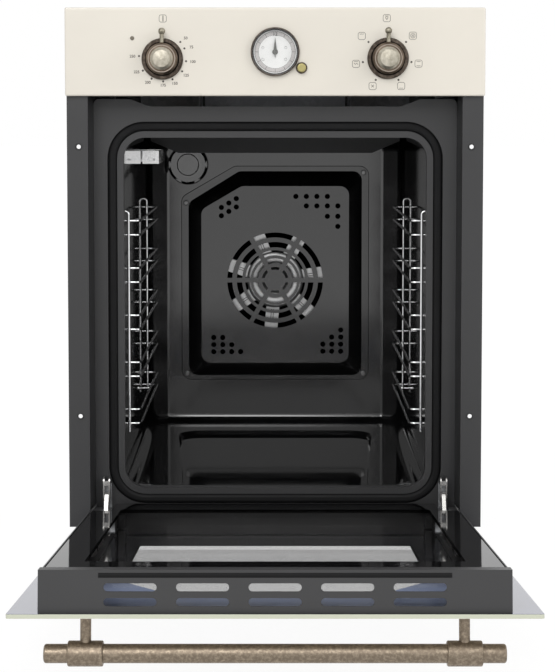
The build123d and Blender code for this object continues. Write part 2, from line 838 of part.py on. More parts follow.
# Ceiling baffle: a sloping apron behind the grill element, let out for the element's two legs
with BuildPart() as ceiling_baffle:
    with BuildSketch(upright(baffle_depth)) as baffle_foot:
        with BuildLine():
            Polyline(
                (-baffle_half_width, baffle_bottom),
                (baffle_half_width, baffle_bottom),
                (baffle_end_half_width, baffle_end_bottom),
                (baffle_end_half_width, baffle_end_top),
                (baffle_top_half_width, cavity_ceiling),
                (-baffle_top_half_width, cavity_ceiling),
                (-baffle_end_half_width, baffle_end_top),
                (-baffle_end_half_width, baffle_end_bottom),
                close=True,
            )
        make_face()
        with Locations((-grill_leg_x, grill_height), (grill_leg_x, grill_height)):
            Circle(element_radius + soft_gap, mode=Mode.SUBTRACT)
    extrude(amount=sheet)
    with BuildSketch(level(cavity_ceiling - sheet)):
        with Locations((0, baffle_depth - baffle_slope / 2)):
            Rectangle(2 * baffle_top_half_width, baffle_slope)
    extrude(amount=sheet)
    with BuildSketch(lengthwise(-baffle_half_width)):
        with BuildLine():
            Polyline(
                (baffle_depth - sheet, baffle_bottom),
                (baffle_depth, baffle_bottom),
                (baffle_depth + baffle_slope, baffle_bottom + baffle_slope),
                (baffle_depth + baffle_slope, baffle_bottom + baffle_slope + sheet),
                (baffle_depth, baffle_bottom + sheet),
                (baffle_depth - sheet, baffle_bottom + sheet),
                close=True,
            )
        make_face()
    extrude(amount=2 * baffle_half_width)
ceiling_baffle.part.label = "ceiling_baffle"
export_step(ceiling_baffle.part, "parts/ceiling_baffle.step")

# Grill element: one bent tube under the ceiling, with two legs out through the back wall
element_end = cavity_back + 2 * casing_lip
with BuildPart() as grill_element:
    with BuildLine(level(grill_height)) as grill_path:
        FilletPolyline(
            (-grill_leg_x, element_end),
            (-grill_leg_x, grill_back),
            (-grill_half_width, grill_back),
            (-grill_half_width, grill_front),
            (grill_half_width, grill_front),
            (grill_half_width, grill_back),
            (grill_leg_x, grill_back),
            (grill_leg_x, element_end),
            radius=element_bend,
        )
    with BuildSketch(grill_path.line ^ 0):
        Circle(element_radius)
    sweep()
grill_element.part.label = "grill_element"
export_step(grill_element.part, "parts/grill_element.step")

# Bottom element: a bent tube pressed against the underside of the floor pan
bottom_element_height = cavity_floor - floor_pan_depth - sheet - element_radius - soft_gap
with BuildPart() as bottom_element:
    with BuildLine(level(bottom_element_height)) as bottom_path:
        FilletPolyline(
            (-grill_leg_x, element_end),
            (-grill_leg_x, grill_back),
            (-bottom_element_half_width, grill_back),
            (-bottom_element_half_width, bottom_element_front),
            (bottom_element_half_width, bottom_element_front),
            (bottom_element_half_width, grill_back),
            (grill_leg_x, grill_back),
            (grill_leg_x, element_end),
            radius=element_bend,
        )
    with BuildSketch(bottom_path.line ^ 0):
        Circle(element_radius)
    sweep()
bottom_element.part.label = "bottom_element"
export_step(bottom_element.part, "parts/bottom_element.step")

# Wire side racks: two upright bars whose tops bend over to the wall, and pairs of rungs between them
rung_top = rung_first_height + (rung_levels - 1) * rung_pitch + rung_pair_gap
rung_offset = rack_bar_radius + rung_radius - weld_depth
rack_wall_x = cavity_half_width - soft_gap
with BuildPart() as side_racks:
    for side, side_name in sides:
        for bar_depth in (rack_front, rack_rear):
            with BuildLine(upright(bar_depth)) as bar:
                FilletPolyline(
                    (side * rack_bar_x, rung_first_height - rack_tail),
                    (side * rack_bar_x, rung_top + rack_head),
                    (side * rack_wall_x, rung_top + rack_head),
                    radius=rack_hook_bend,
                )
            with BuildSketch(bar.line ^ 0):
                Circle(rack_bar_radius)
            sweep()
        for rung_level in range(rung_levels):
            for pair_step in range(2):
                rung_height = rung_first_height + rung_level * rung_pitch + pair_step * rung_pair_gap
                with BuildLine(level(rung_height)) as rung:
                    FilletPolyline(
                        (side * rack_wall_x, rack_front + rung_offset),
                        (side * rung_x, rack_front + rung_offset),
                        (side * rung_x, rack_rear + rung_offset),
                        (side * rack_wall_x, rack_rear + rung_offset),
                        radius=rung_bend,
                    )
                with BuildSketch(rung.line ^ 0):
                    Circle(rung_radius)
                sweep()
side_racks.part.label = "side_racks"
export_step(side_racks.part, "parts/side_racks.step")

# Sensor bracket: a foot on the left wall, a back, a leg that runs forward, and a front with a round hole
bracket_leg_x = bracket_reach - cavity_half_width
with BuildPart() as sensor_bracket:
    with BuildSketch(level(bracket_bottom)):
        with BuildLine():
            Polyline(
                (-cavity_half_width, bracket_back - bracket_foot),
                (-cavity_half_width, bracket_back),
                (bracket_leg_x, bracket_back),
                (bracket_leg_x, bracket_front),
                (bracket_side_gap - cavity_half_width, bracket_front),
                (bracket_side_gap - cavity_half_width, bracket_front + sheet),
                (bracket_leg_x - sheet, bracket_front + sheet),
                (bracket_leg_x - sheet, bracket_back - sheet),
                (sheet - cavity_half_width, bracket_back - sheet),
                (sheet - cavity_half_width, bracket_back - bracket_foot),
                close=True,
            )
        make_face()
    extrude(amount=bracket_height)
    with BuildSketch(upright(bracket_front + sheet)):
        with Locations((bracket_hole_reach - cavity_half_width, bracket_bottom + bracket_hole_rise)):
            Circle(bracket_hole_radius)
    extrude(amount=sheet, mode=Mode.SUBTRACT)
sensor_bracket.part.label = "sensor_bracket"
export_step(sensor_bracket.part, "parts/sensor_bracket.step")

# Rack studs: a pin with a rounded knob on each side wall, in front of the rear bar's foot
stud_depth = rack_rear - rack_bar_radius - stud_ball_radius - soft_gap
stud_ball_x = cavity_half_width - stud_reach
with BuildPart() as rack_studs:
    for side, side_name in sides:
        for pin_start, pin_end, pin_radius in (
            (cavity_half_width, stud_ball_x, stud_radius),
            (stud_ball_x + stud_ball_radius, stud_ball_x - stud_ball_radius, stud_ball_radius),
        ):
            with BuildSketch(lengthwise(min(side * pin_start, side * pin_end))):
                with Locations((stud_depth, stud_height)):
                    Circle(pin_radius)
            extrude(amount=pin_start - pin_end)
    knob_edges = rack_studs.edges().filter_by(GeomType.CIRCLE).group_by(SortBy.RADIUS)[-1]
    fillet(knob_edges, radius=0.35 * stud_ball_radius)
rack_studs.part.label = "rack_studs"
export_step(rack_studs.part, "parts/rack_studs.step")

# Door outer glass with two holes for the handle screws
glass_end = door_glass_length - door_glass_drop
with BuildPart() as door_outer_glass:
    with BuildSketch(door_plane.offset(-door_outer_face)):
        with Locations((0, (glass_end - door_glass_drop) / 2)):
            RectangleRounded(facade_width, door_glass_length, 2 * sheet)
        with Locations((-post_x, handle_along), (post_x, handle_along)):
            Circle(handle_screw_radius + soft_gap, mode=Mode.SUBTRACT)
    extrude(amount=glass_thickness)
    chamfer(door_outer_glass.faces().sort_by(Axis.Z)[0].outer_wire().edges(), length=soft_gap)
door_outer_glass.part.label = "door_outer_glass"
export_step(door_outer_glass.part, "parts/door_outer_glass.step")

# Door inner glass, notched at its two hinge corners
inner_glass_back = door_inner_face - glass_thickness
with BuildPart() as door_inner_glass:
    with BuildSketch(door_plane.offset(inner_glass_back)) as inner_pane:
        with Locations((0, (inner_glass_end - door_box_drop) / 2)):
            Rectangle(2 * inner_glass_half_width, inner_glass_end + door_box_drop)
        with Locations((0, (hinge_notch_length - door_box_drop) / 2)):
            with GridLocations(2 * hinge_notch_x + 2 * door_flange, 1, 2, 1):
                Rectangle(2 * door_flange, hinge_notch_length + door_box_drop, mode=Mode.SUBTRACT)
    extrude(amount=glass_thickness)
    pane_corners = door_inner_glass.edges().filter_by(Axis(pivot, door_inward))
    fillet(pane_corners, radius=2 * sheet)
door_inner_glass.part.label = "door_inner_glass"
export_step(door_inner_glass.part, "parts/door_inner_glass.step")

# Door middle glass
middle_glass_end = inner_glass_end - middle_glass_margin
with BuildPart() as door_middle_glass:
    with BuildSketch(door_plane.offset(-middle_glass_thickness)):
        with Locations((0, (middle_glass_margin + middle_glass_end) / 2)):
            RectangleRounded(2 * middle_glass_half_width, middle_glass_end - middle_glass_margin, 2 * sheet)
    extrude(amount=middle_glass_thickness)
door_middle_glass.part.label = "door_middle_glass"
export_step(door_middle_glass.part, "parts/door_middle_glass.step")

# Rubber spacers that hold the middle glass between the other two, near its corners
outer_glass_back = glass_thickness - door_outer_face
with BuildPart() as glass_spacers:
    for spacer_bottom, spacer_height in (
        (outer_glass_back, -middle_glass_thickness - outer_glass_back),
        (0, inner_glass_back),
    ):
        with BuildSketch(door_plane.offset(spacer_bottom)):
            with Locations((0, (middle_glass_margin + middle_glass_end) / 2)):
                with GridLocations(
                    2 * middle_glass_half_width - 2 * spacer_width,
                    middle_glass_end - middle_glass_margin - 2 * spacer_length,
                    2,
                    2,
                ):
                    RectangleRounded(spacer_width, spacer_length, sheet)
        extrude(amount=spacer_height)
glass_spacers.part.label = "glass_spacers"
export_step(glass_spacers.part, "parts/glass_spacers.step")

# Door frame: side channels and a bottom rail between the glasses, open at the notches for the hinges
rail_half_width = door_box_half_width - door_flange
with BuildPart() as door_frame:
    for side, side_name in sides:
        with BuildSketch(door_end(-door_box_drop)):
            with BuildLine():
                Polyline(
                    (side * rail_half_width, outer_glass_back),
                    (side * door_box_half_width, outer_glass_back),
                    (side * door_box_half_width, door_inner_face),
                    (side * (door_box_half_width - sheet), door_inner_face),
                    (side * (door_box_half_width - sheet), inner_glass_back),
                    (side * rail_half_width, inner_glass_back),
                    (side * rail_half_width, inner_glass_back - sheet),
                    (side * (door_box_half_width - sheet), inner_glass_back - sheet),
                    (side * (door_box_half_width - sheet), outer_glass_back + sheet),
                    (side * rail_half_width, outer_glass_back + sheet),
                    close=True,
                )
            make_face()
        extrude(amount=door_box_drop + inner_glass_end)
        with BuildSketch(door_plane.offset(inner_glass_back - sheet)):
            with Locations((-side * hinge_x, (hinge_notch_length - door_box_drop) / 2)):
                Rectangle(3 * channel_gap + 2 * arm_thickness, hinge_notch_length + door_box_drop)
        extrude(amount=sheet, mode=Mode.SUBTRACT)
    with BuildSketch(door_section(rail_half_width)):
        with BuildLine():
            Polyline(
                (-door_box_drop, outer_glass_back),
                (door_flange - door_box_drop, outer_glass_back),
                (door_flange - door_box_drop, outer_glass_back + sheet),
                (sheet - door_box_drop, outer_glass_back + sheet),
                (sheet - door_box_drop, inner_glass_back - sheet),
                (door_flange - door_box_drop, inner_glass_back - sheet),
                (door_flange - door_box_drop, inner_glass_back),
                (-door_box_drop, inner_glass_back),
                close=True,
            )
        make_face()
    extrude(amount=2 * rail_half_width)
door_frame.part.label = "door_frame"
export_step(door_frame.part, "parts/door_frame.step")

# Door end cap: a cover over the free edge with two rows of air slots and a lip on the inner glass
cap_top = outer_glass_back + cap_height
with BuildPart() as door_end_cap:
    with BuildSketch(door_section(cap_half_width)):
        with BuildLine():
            Polyline(
                (door_box_end, cap_top - cap_height),
                (door_box_end, cap_top),
                (door_box_end - cap_lip, cap_top),
                (door_box_end - cap_lip, cap_top - sheet),
                (door_box_end - sheet, cap_top - sheet),
                (door_box_end - sheet, cap_top - cap_height + sheet),
                (inner_glass_end + sheet, cap_top - cap_height + sheet),
                (inner_glass_end + sheet, cap_top - cap_height),
                close=True,
            )
        make_face()
    extrude(amount=2 * cap_half_width)
    with BuildSketch(door_end(door_box_end)):
        for row in vent_rows:
            with Locations((0, cap_top - row)):
                with GridLocations(vent_spacing, 1, vent_count, 1):
                    SlotOverall(vent_length, vent_width)
    extrude(amount=-sheet, mode=Mode.SUBTRACT)
door_end_cap.part.label = "door_end_cap"
export_step(door_end_cap.part, "parts/door_end_cap.step")

# Handle: a bar carried by two posts, with a thicker collar on the bar at each post
handle_out = -door_outer_face - handle_standoff
handle_centre = pivot + door_along * handle_along + door_inward * handle_out
with BuildPart() as handle_bar:
    with BuildSketch(Plane(origin=handle_centre - Vector(handle_half_length, 0, 0), z_dir=(1, 0, 0))):
        Circle(handle_radius)
    extrude(amount=2 * handle_half_length)
    fillet(handle_bar.edges().filter_by(GeomType.CIRCLE), radius=handle_radius / 4)
    with BuildSketch(door_plane.offset(handle_out)):
        with Locations((-post_x, handle_along), (post_x, handle_along)):
            Circle(post_radius)
    extrude(amount=handle_radius, mode=Mode.SUBTRACT)
handle_bar.part.label = "handle_bar"
export_step(handle_bar.part, "parts/handle_bar.step")

with BuildPart() as handle_posts:
    with BuildSketch(door_plane.offset(handle_out)):
        with Locations((-post_x, handle_along), (post_x, handle_along)):
            Circle(post_radius - screw_gap)
    extrude(amount=handle_standoff)
    with BuildSketch(door_plane.offset(-door_outer_face)):
        with Locations((-post_x, handle_along), (post_x, handle_along)):
            Circle(handle_screw_radius + screw_gap)
    extrude(amount=-handle_screw_engagement, mode=Mode.SUBTRACT)
handle_posts.part.label = "handle_posts"
export_step(handle_posts.part, "parts/handle_posts.step")

with BuildPart() as handle_collars:
    for side, side_name in sides:
        collar_start = handle_centre + Vector(side * post_x - collar_length / 2, 0, 0)
        with BuildSketch(Plane(origin=collar_start, z_dir=(1, 0, 0))):
            Circle(collar_radius)
        extrude(amount=collar_length)
    fillet(handle_collars.edges().filter_by(GeomType.CIRCLE), radius=sheet)
    with BuildSketch(Plane(origin=handle_centre - Vector(handle_half_length, 0, 0), z_dir=(1, 0, 0))):
        Circle(handle_radius + screw_gap)
    extrude(amount=2 * handle_half_length, mode=Mode.SUBTRACT)
    with BuildSketch(door_plane.offset(handle_out)):
        with Locations((-post_x, handle_along), (post_x, handle_along)):
            Circle(post_radius)
    extrude(amount=handle_standoff, mode=Mode.SUBTRACT)
handle_collars.part.label = "handle_collars"
export_step(handle_collars.part, "parts/handle_collars.step")

with BuildPart() as handle_screws:
    for screw_foot, screw_radius, screw_length in (
        (
            -door_outer_face - handle_screw_engagement,
            handle_screw_radius,
            handle_screw_engagement + glass_thickness,
        ),
        (outer_glass_back, handle_screw_head_radius, handle_screw_head_height),
    ):
        with BuildSketch(door_plane.offset(screw_foot)):
            with Locations((-post_x, handle_along), (post_x, handle_along)):
                Circle(screw_radius)
        extrude(amount=screw_length)
handle_screws.part.label = "handle_screws"
export_step(handle_screws.part, "parts/handle_screws.step")

# Door hinges. A fixed arm comes forward out of the front frame, and the pin in it carries the door.
cheek_offset = arm_thickness / 2 + channel_gap
pin_half_length = cheek_offset + 2 * sheet
with BuildPart() as hinge_arms:
    for side, side_name in sides:
        with BuildSketch(lengthwise(side * hinge_x - arm_thickness / 2)) as arm_side:
            with BuildLine():
                Polyline(
                    (pivot_depth - arm_boss_radius, pivot_height),
                    (arm_elbow_depth - arm_boss_radius, arm_elbow_height + arm_bar_height / 2),
                    (arm_reach, arm_elbow_height + arm_bar_height / 2),
                    (arm_reach, arm_elbow_height - arm_bar_height / 2 - arm_hook_drop),
                    (arm_reach - arm_bar_height / 2, arm_elbow_height - arm_bar_height / 2 - arm_hook_drop),
                    (arm_reach - arm_bar_height, arm_elbow_height - arm_bar_height / 2),
                    (arm_elbow_depth, arm_elbow_height - arm_bar_height / 2),
                    (pivot_depth + arm_boss_radius, pivot_height),
                    close=True,
                )
            make_face()
            with Locations((pivot_depth, pivot_height)):
                Circle(arm_boss_radius)
            with Locations((lock_depth, lock_pin_height)):
                Circle(lock_radius)
                Circle(lock_pin_radius + screw_gap, mode=Mode.SUBTRACT)
        extrude(amount=arm_thickness)
        with BuildSketch(lengthwise(side * hinge_x - pin_half_length)):
            with Locations((pivot_depth, pivot_height)):
                Circle(hinge_pin_radius)
        extrude(amount=2 * pin_half_length)
hinge_arms.part.label = "hinge_arms"
export_step(hinge_arms.part, "parts/hinge_arms.step")

# Hinge housings: a plate on the front frame, and a channel behind it that the arm slides into
with BuildPart() as hinge_housings:
    for side, side_name in sides:
        with BuildSketch(upright(frame_setback)):
            with Locations((side * hinge_x, (frame_bottom + hinge_plate_top) / 2)):
                Rectangle(hinge_plate_width, hinge_plate_top - frame_bottom)
        extrude(amount=sheet)
        with BuildSketch(level(housing_bottom)):
            with Locations((side * hinge_x, (frame_setback + housing_end) / 2)):
                Rectangle(2 * housing_half_width, housing_end - frame_setback)
        extrude(amount=housing_height)
        with BuildSketch(level(housing_bottom)):
            with Locations((side * hinge_x, (frame_setback + housing_end - sheet) / 2)):
                Rectangle(2 * housing_half_width - 2 * sheet, housing_end - sheet - frame_setback)
        extrude(amount=housing_height, mode=Mode.SUBTRACT)
        with BuildSketch(upright(frame_setback)):
            with Locations((side * hinge_x, arm_elbow_height)):
                Rectangle(2 * housing_half_width - 2 * sheet, arm_bar_height + 2 * soft_gap)
        extrude(amount=sheet, mode=Mode.SUBTRACT)
hinge_housings.part.label = "hinge_housings"
export_step(hinge_housings.part, "parts/hinge_housings.step")

# Hinge channels in the door: low beside the arm and its lock, and tall further along
channel_start = arm_boss_radius - channel_floor
with BuildPart() as hinge_channels:
    for side, side_name in sides:
        for cheek_start in (side * hinge_x + cheek_offset + sheet, side * hinge_x - cheek_offset):
            with BuildSketch(door_section(cheek_start)) as cheek:
                with BuildLine():
                    Polyline(
                        (channel_start, -channel_floor),
                        (channel_length, -channel_floor),
                        (channel_length, channel_high_side),
                        (hinge_notch_length + arm_boss_radius, channel_high_side),
                        (hinge_notch_length, channel_low_side),
                        (2 * arm_boss_radius, channel_low_side),
                        (arm_boss_radius, arm_boss_radius),
                        (channel_start, arm_boss_radius),
                        close=True,
                    )
                make_face()
                Circle(hinge_pin_radius + running_gap, mode=Mode.SUBTRACT)
            extrude(amount=sheet)
        with BuildSketch(door_section(side * hinge_x + cheek_offset)):
            with Locations(((channel_length + channel_start) / 2, sheet / 2 - channel_floor)):
                Rectangle(channel_length - channel_start, sheet)
        extrude(amount=2 * cheek_offset)
        with BuildSketch(door_plane.offset(outer_glass_back + sheet)):
            with Locations((-side * hinge_x, channel_length / 2 + hinge_notch_length / 2)):
                Rectangle(2 * cheek_offset + 2 * sheet, channel_length / 2)
        extrude(amount=-outer_glass_back - sheet - channel_floor)
hinge_channels.part.label = "hinge_channels"
export_step(hinge_channels.part, "parts/hinge_channels.step")

# Hinge locks: stirrups that flip forward over the arms when the door is to be lifted off
lock_half_gap = arm_thickness / 2 + lock_gap
for side, side_name in sides:
    with BuildPart() as hinge_lock:
        for cheek_start in (side * hinge_x + lock_half_gap, side * hinge_x - lock_half_gap - lock_sheet):
            with BuildSketch(lengthwise(cheek_start)):
                with Locations((lock_depth, lock_pin_height)):
                    with Locations((0, lock_length / 2)):
                        SlotCenterToCenter(lock_length, 2 * lock_radius, rotation=90)
            extrude(amount=lock_sheet)
        with BuildSketch(lengthwise(side * hinge_x - lock_half_gap)):
            with Locations((lock_depth - lock_radius + lock_sheet / 2, lock_bridge_height)):
                Rectangle(lock_sheet, lock_radius)
        extrude(amount=2 * lock_half_gap)
        with BuildSketch(lengthwise(side * hinge_x - lock_half_gap)):
            with Locations((lock_depth, lock_pin_height)):
                Circle(lock_pin_radius)
        extrude(amount=2 * lock_half_gap)
    hinge_lock.part.label = f"hinge_lock_{side_name}"
    export_step(hinge_lock.part, f"parts/hinge_lock_{side_name}.step")

# Control panel: a pressed face with returned edges, and holes for each control
with BuildPart() as control_panel:
    with BuildSketch(upright(0)):
        rounded_frame(facade_width / 2, panel_bottom, facade_height, panel_edge_radius)
    extrude(amount=panel_proud)
    fillet(control_panel.faces().sort_by(Axis.Y)[0].edges(), radius=panel_edge_radius)
    offset(amount=-sheet, openings=control_panel.faces().sort_by(Axis.Y)[-1])
    with BuildSketch(upright(0)):
        with Locations(thermostat_place, selector_place):
            Circle(2 * knob_shaft_radius + panel_hole_gap)
        with Locations(clock_place):
            Circle(clock_radius - clock_bezel_width / 2)
        with Locations(button_place):
            Circle(button_radius + soft_gap)
        with Locations(pilot_place):
            Circle(pilot_radius)
    extrude(amount=panel_proud, mode=Mode.SUBTRACT)
control_panel.part.label = "control_panel"
export_step(control_panel.part, "parts/control_panel.step")

# Carrier plate behind the control panel, with a shelf that runs back over the air duct
with BuildPart() as control_carrier:
    with BuildSketch(upright(sheet)):
        rounded_frame(recess_half_width - soft_gap, panel_bottom, body_height - casing_lip, sheet)
        with Locations(thermostat_place, selector_place):
            Circle(2 * knob_shaft_radius, mode=Mode.SUBTRACT)
        with Locations(clock_place):
            Circle(clock_radius - clock_bezel_width / 2, mode=Mode.SUBTRACT)
        with Locations(button_place):
            Circle(button_radius + soft_gap, mode=Mode.SUBTRACT)
        with Locations(pilot_place):
            Circle(pilot_radius, mode=Mode.SUBTRACT)
    extrude(amount=sheet)
    with BuildSketch(level(shelf_height)):
        with Locations((0, (sheet + shelf_back) / 2)):
            Rectangle(2 * tray_half_width - 4 * casing_lip, shelf_back - sheet)
    extrude(amount=sheet)
control_carrier.part.label = "control_carrier"
export_step(control_carrier.part, "parts/control_carrier.step")

# Thermostat and selector switch: each a body with a threaded nose, a turning shaft, a rose and a knob
body_size_x, body_size_y, body_size_z = control_body
bush_radius = knob_shaft_radius + 2 * sheet
knob_foot = panel_face_depth - rose_height
for control_name, control_place in (("thermostat", thermostat_place), ("selector", selector_place)):
    with BuildPart() as control_switch:
        with BuildSketch(upright(sheet + body_size_y)):
            with Locations(control_place):
                RectangleRounded(body_size_x, body_size_z, 3 * sheet)
        extrude(amount=body_size_y)
        with BuildSketch(upright(sheet)):
            with Locations(control_place):
                Circle(bush_radius)
        extrude(amount=sheet + panel_proud)
        with BuildSketch(upright(sheet + body_size_y / 2)):
            with Locations(control_place):
                Circle(knob_shaft_radius + running_gap)
        extrude(amount=body_size_y, mode=Mode.SUBTRACT)
    control_switch.part.label = f"{control_name}_switch"
    export_step(control_switch.part, f"parts/{control_name}_switch.step")

    with BuildPart() as control_shaft:
        with BuildSketch(upright(body_size_y / 2)):
            with Locations(control_place):
                Circle(knob_shaft_radius)
        extrude(amount=body_size_y / 2 - knob_foot + knob_socket)
        with BuildSketch(upright(knob_foot)):
            with Locations((control_place[0], control_place[1] + 1.5 * knob_shaft_radius)):
                Rectangle(2 * knob_shaft_radius, 2 * knob_shaft_radius)
        extrude(amount=knob_socket, mode=Mode.SUBTRACT)
    control_shaft.part.label = f"{control_name}_shaft"
    export_step(control_shaft.part, f"parts/{control_name}_shaft.step")

    with BuildPart() as control_knob:
        with BuildSketch(turned(control_place, knob_foot)):
            with BuildLine():
                Polyline(
                    (0, 0),
                    (knob_radius - soft_gap, 0),
                    (knob_radius - soft_gap, 0.45 * knob_height),
                    (knob_radius - 2 * sheet, 0.6 * knob_height),
                    (knob_dome_radius, 0.6 * knob_height),
                    (knob_dome_radius, 0.75 * knob_height),
                    (0.75 * knob_dome_radius, 0.95 * knob_height),
                    (0, knob_height),
                    close=True,
                )
            make_face()
        revolve(axis=outward_axis(control_place))
        pointer_height = knob_foot - 0.3 * knob_height
        pointer_root = Vector(control_place[0], flange_y + pointer_height, control_place[1])
        with BuildSketch(Plane(origin=pointer_root, z_dir=(0, 0, 1))):
            Circle(pointer_radius)
        extrude(amount=pointer_reach)
        with Locations(pointer_root + Vector(0, 0, pointer_reach)):
            Sphere(pointer_ball_radius)
        with BuildSketch(upright(knob_foot)):
            with Locations(control_place):
                Circle(knob_shaft_radius + screw_gap)
            with Locations((control_place[0], control_place[1] + 1.5 * knob_shaft_radius + screw_gap)):
                Rectangle(2 * knob_shaft_radius, 2 * knob_shaft_radius, mode=Mode.SUBTRACT)
        extrude(amount=knob_socket + screw_gap, mode=Mode.SUBTRACT)
    control_knob.part.label = f"{control_name}_knob"
    export_step(control_knob.part, f"parts/{control_name}_knob.step")

# Roses: the fixed rings on the panel round the two knobs
with BuildPart() as control_roses:
    for control_place in (thermostat_place, selector_place):
        with BuildSketch(turned(control_place, panel_face_depth)):
            with BuildLine():
                Polyline(
                    (bush_radius + 2 * sheet, 0),
                    (rose_radius, 0),
                    (rose_radius, 0.5 * rose_height),
                    (rose_radius - sheet, 0.9 * rose_height),
                    (knob_radius + sheet, 0.9 * rose_height),
                    (knob_radius, 0.6 * rose_height),
                    (bush_radius + 2 * sheet, 0.6 * rose_height),
                    close=True,
                )
            make_face()
        revolve(axis=outward_axis(control_place))
control_roses.part.label = "control_roses"
export_step(control_roses.part, "parts/control_roses.step")

# Clock: a bezel ring, a cup behind the panel, a dial and a glass
clock_inner_radius = clock_radius - clock_bezel_width
dial_depth = panel_face_depth + dial_setback
with BuildPart() as clock_bezel:
    with BuildSketch(turned(clock_place, panel_face_depth)):
        with BuildLine():
            Polyline(
                (clock_inner_radius, 0),
                (clock_radius, 0),
                (clock_radius, 0.6 * clock_bezel_height),
                (clock_radius - 0.4 * clock_bezel_width, clock_bezel_height),
                (clock_inner_radius + 0.3 * clock_bezel_width, clock_bezel_height),
                (clock_inner_radius, 0.5 * clock_bezel_height),
                close=True,
            )
        make_face()
    revolve(axis=outward_axis(clock_place))
clock_bezel.part.label = "clock_bezel"
export_step(clock_bezel.part, "parts/clock_bezel.step")

with BuildPart() as clock_case:
    with BuildSketch(upright(clock_case_length)):
        with Locations(clock_place):
            Circle(clock_inner_radius)
    extrude(amount=clock_case_length - panel_face_depth)
    with BuildSketch(upright(dial_depth + dial_thickness)):
        with Locations(clock_place):
            Circle(clock_inner_radius - sheet)
    extrude(amount=panel_proud, mode=Mode.SUBTRACT)
    with BuildSketch(upright(dial_depth + dial_thickness + casing_lip)):
        with Locations(clock_place):
            Circle(hour_pipe_radius + running_gap)
    extrude(amount=casing_lip, mode=Mode.SUBTRACT)
clock_case.part.label = "clock_case"
export_step(clock_case.part, "parts/clock_case.step")

with BuildPart() as clock_dial:
    with BuildSketch(upright(dial_depth + dial_thickness)):
        with Locations(clock_place):
            Circle(clock_inner_radius - sheet)
            Circle(hour_pipe_radius + running_gap, mode=Mode.SUBTRACT)
    extrude(amount=dial_thickness)
clock_dial.part.label = "clock_dial"
export_step(clock_dial.part, "parts/clock_dial.step")

glass_depth = panel_face_depth - 0.3 * clock_bezel_height
with BuildPart() as clock_glass:
    with BuildSketch(upright(glass_depth + dial_thickness)):
        with Locations(clock_place):
            Circle(clock_inner_radius)
    extrude(amount=dial_thickness)
clock_glass.part.label = "clock_glass"
export_step(clock_glass.part, "parts/clock_glass.step")

# Hands: the hour hand turns on a pipe, and the minute hand's arbor turns inside that pipe
clock_x, clock_height = clock_place
hour_plate_back = dial_depth - hand_gap
minute_plate_back = hour_plate_back - hand_thickness - hand_gap
for hand_name, plate_back, hand_length, hub_radius, arbor_radius in (
    ("hour", hour_plate_back, hour_hand_length, 2 * hour_pipe_radius, hour_pipe_radius),
    ("minute", minute_plate_back, minute_hand_length, 1.5 * hour_pipe_radius, minute_arbor_radius),
):
    with BuildPart() as clock_hand:
        with BuildSketch(upright(plate_back)):
            with Locations(clock_place):
                Circle(hub_radius)
            with BuildLine():
                Polyline(
                    (clock_x, clock_height + hand_length),
                    (clock_x + hand_half_width, clock_height + hand_belly_share * hand_length),
                    (clock_x, clock_height - hand_tail_share * hand_length),
                    (clock_x - hand_half_width, clock_height + hand_belly_share * hand_length),
                    close=True,
                )
            make_face()
        extrude(amount=hand_thickness)
        with BuildSketch(upright(dial_depth + 0.8 * casing_lip)):
            with Locations(clock_place):
                Circle(arbor_radius)
        extrude(amount=dial_depth + 0.8 * casing_lip - plate_back)
        if hand_name == "hour":
            with BuildSketch(upright(dial_depth + casing_lip)):
                with Locations(clock_place):
                    Circle(minute_arbor_radius + running_gap)
            extrude(amount=2 * casing_lip, mode=Mode.SUBTRACT)
    clock_hand.part.label = f"{hand_name}_hand"
    export_step(clock_hand.part, f"parts/{hand_name}_hand.step")

# Clock setting button in a collar beside the clock, and its sleeve on the clock case's side
with BuildPart() as button_collar:
    with BuildSketch(upright(0)):
        with Locations(button_place):
            Circle(button_radius + soft_gap)
            Circle(button_radius + running_gap, mode=Mode.SUBTRACT)
    extrude(amount=panel_proud)
    with BuildSketch(upright(panel_face_depth)):
        with Locations(button_place):
            Circle(button_collar_radius)
            Circle(button_radius + running_gap, mode=Mode.SUBTRACT)
    extrude(amount=sheet)
button_collar.part.label = "button_collar"
export_step(button_collar.part, "parts/button_collar.step")

with BuildPart() as clock_button:
    with BuildSketch(upright(-button_travel / 2)):
        with Locations(button_place):
            Circle(button_radius)
    extrude(amount=button_proud + panel_proud - button_travel / 2)
    fillet(clock_button.faces().sort_by(Axis.Y)[0].edges(), radius=sheet)
clock_button.part.label = "clock_button"
export_step(clock_button.part, "parts/clock_button.step")

# Pilot lamp: a small lens with its body behind the carrier plate
with BuildPart() as pilot_lamp:
    with BuildSketch(upright(2 * casing_lip)):
        with Locations(pilot_place):
            Circle(pilot_radius)
    extrude(amount=2 * casing_lip + panel_proud + sheet)
    fillet(pilot_lamp.faces().sort_by(Axis.Y)[0].edges(), radius=0.8 * sheet)
    with BuildSketch(upright(2 * casing_lip)):
        with Locations(pilot_place):
            Circle(2 * pilot_radius)
    extrude(amount=2 * casing_lip - sheet)
pilot_lamp.part.label = "pilot_lamp"
export_step(pilot_lamp.part, "parts/pilot_lamp.step")

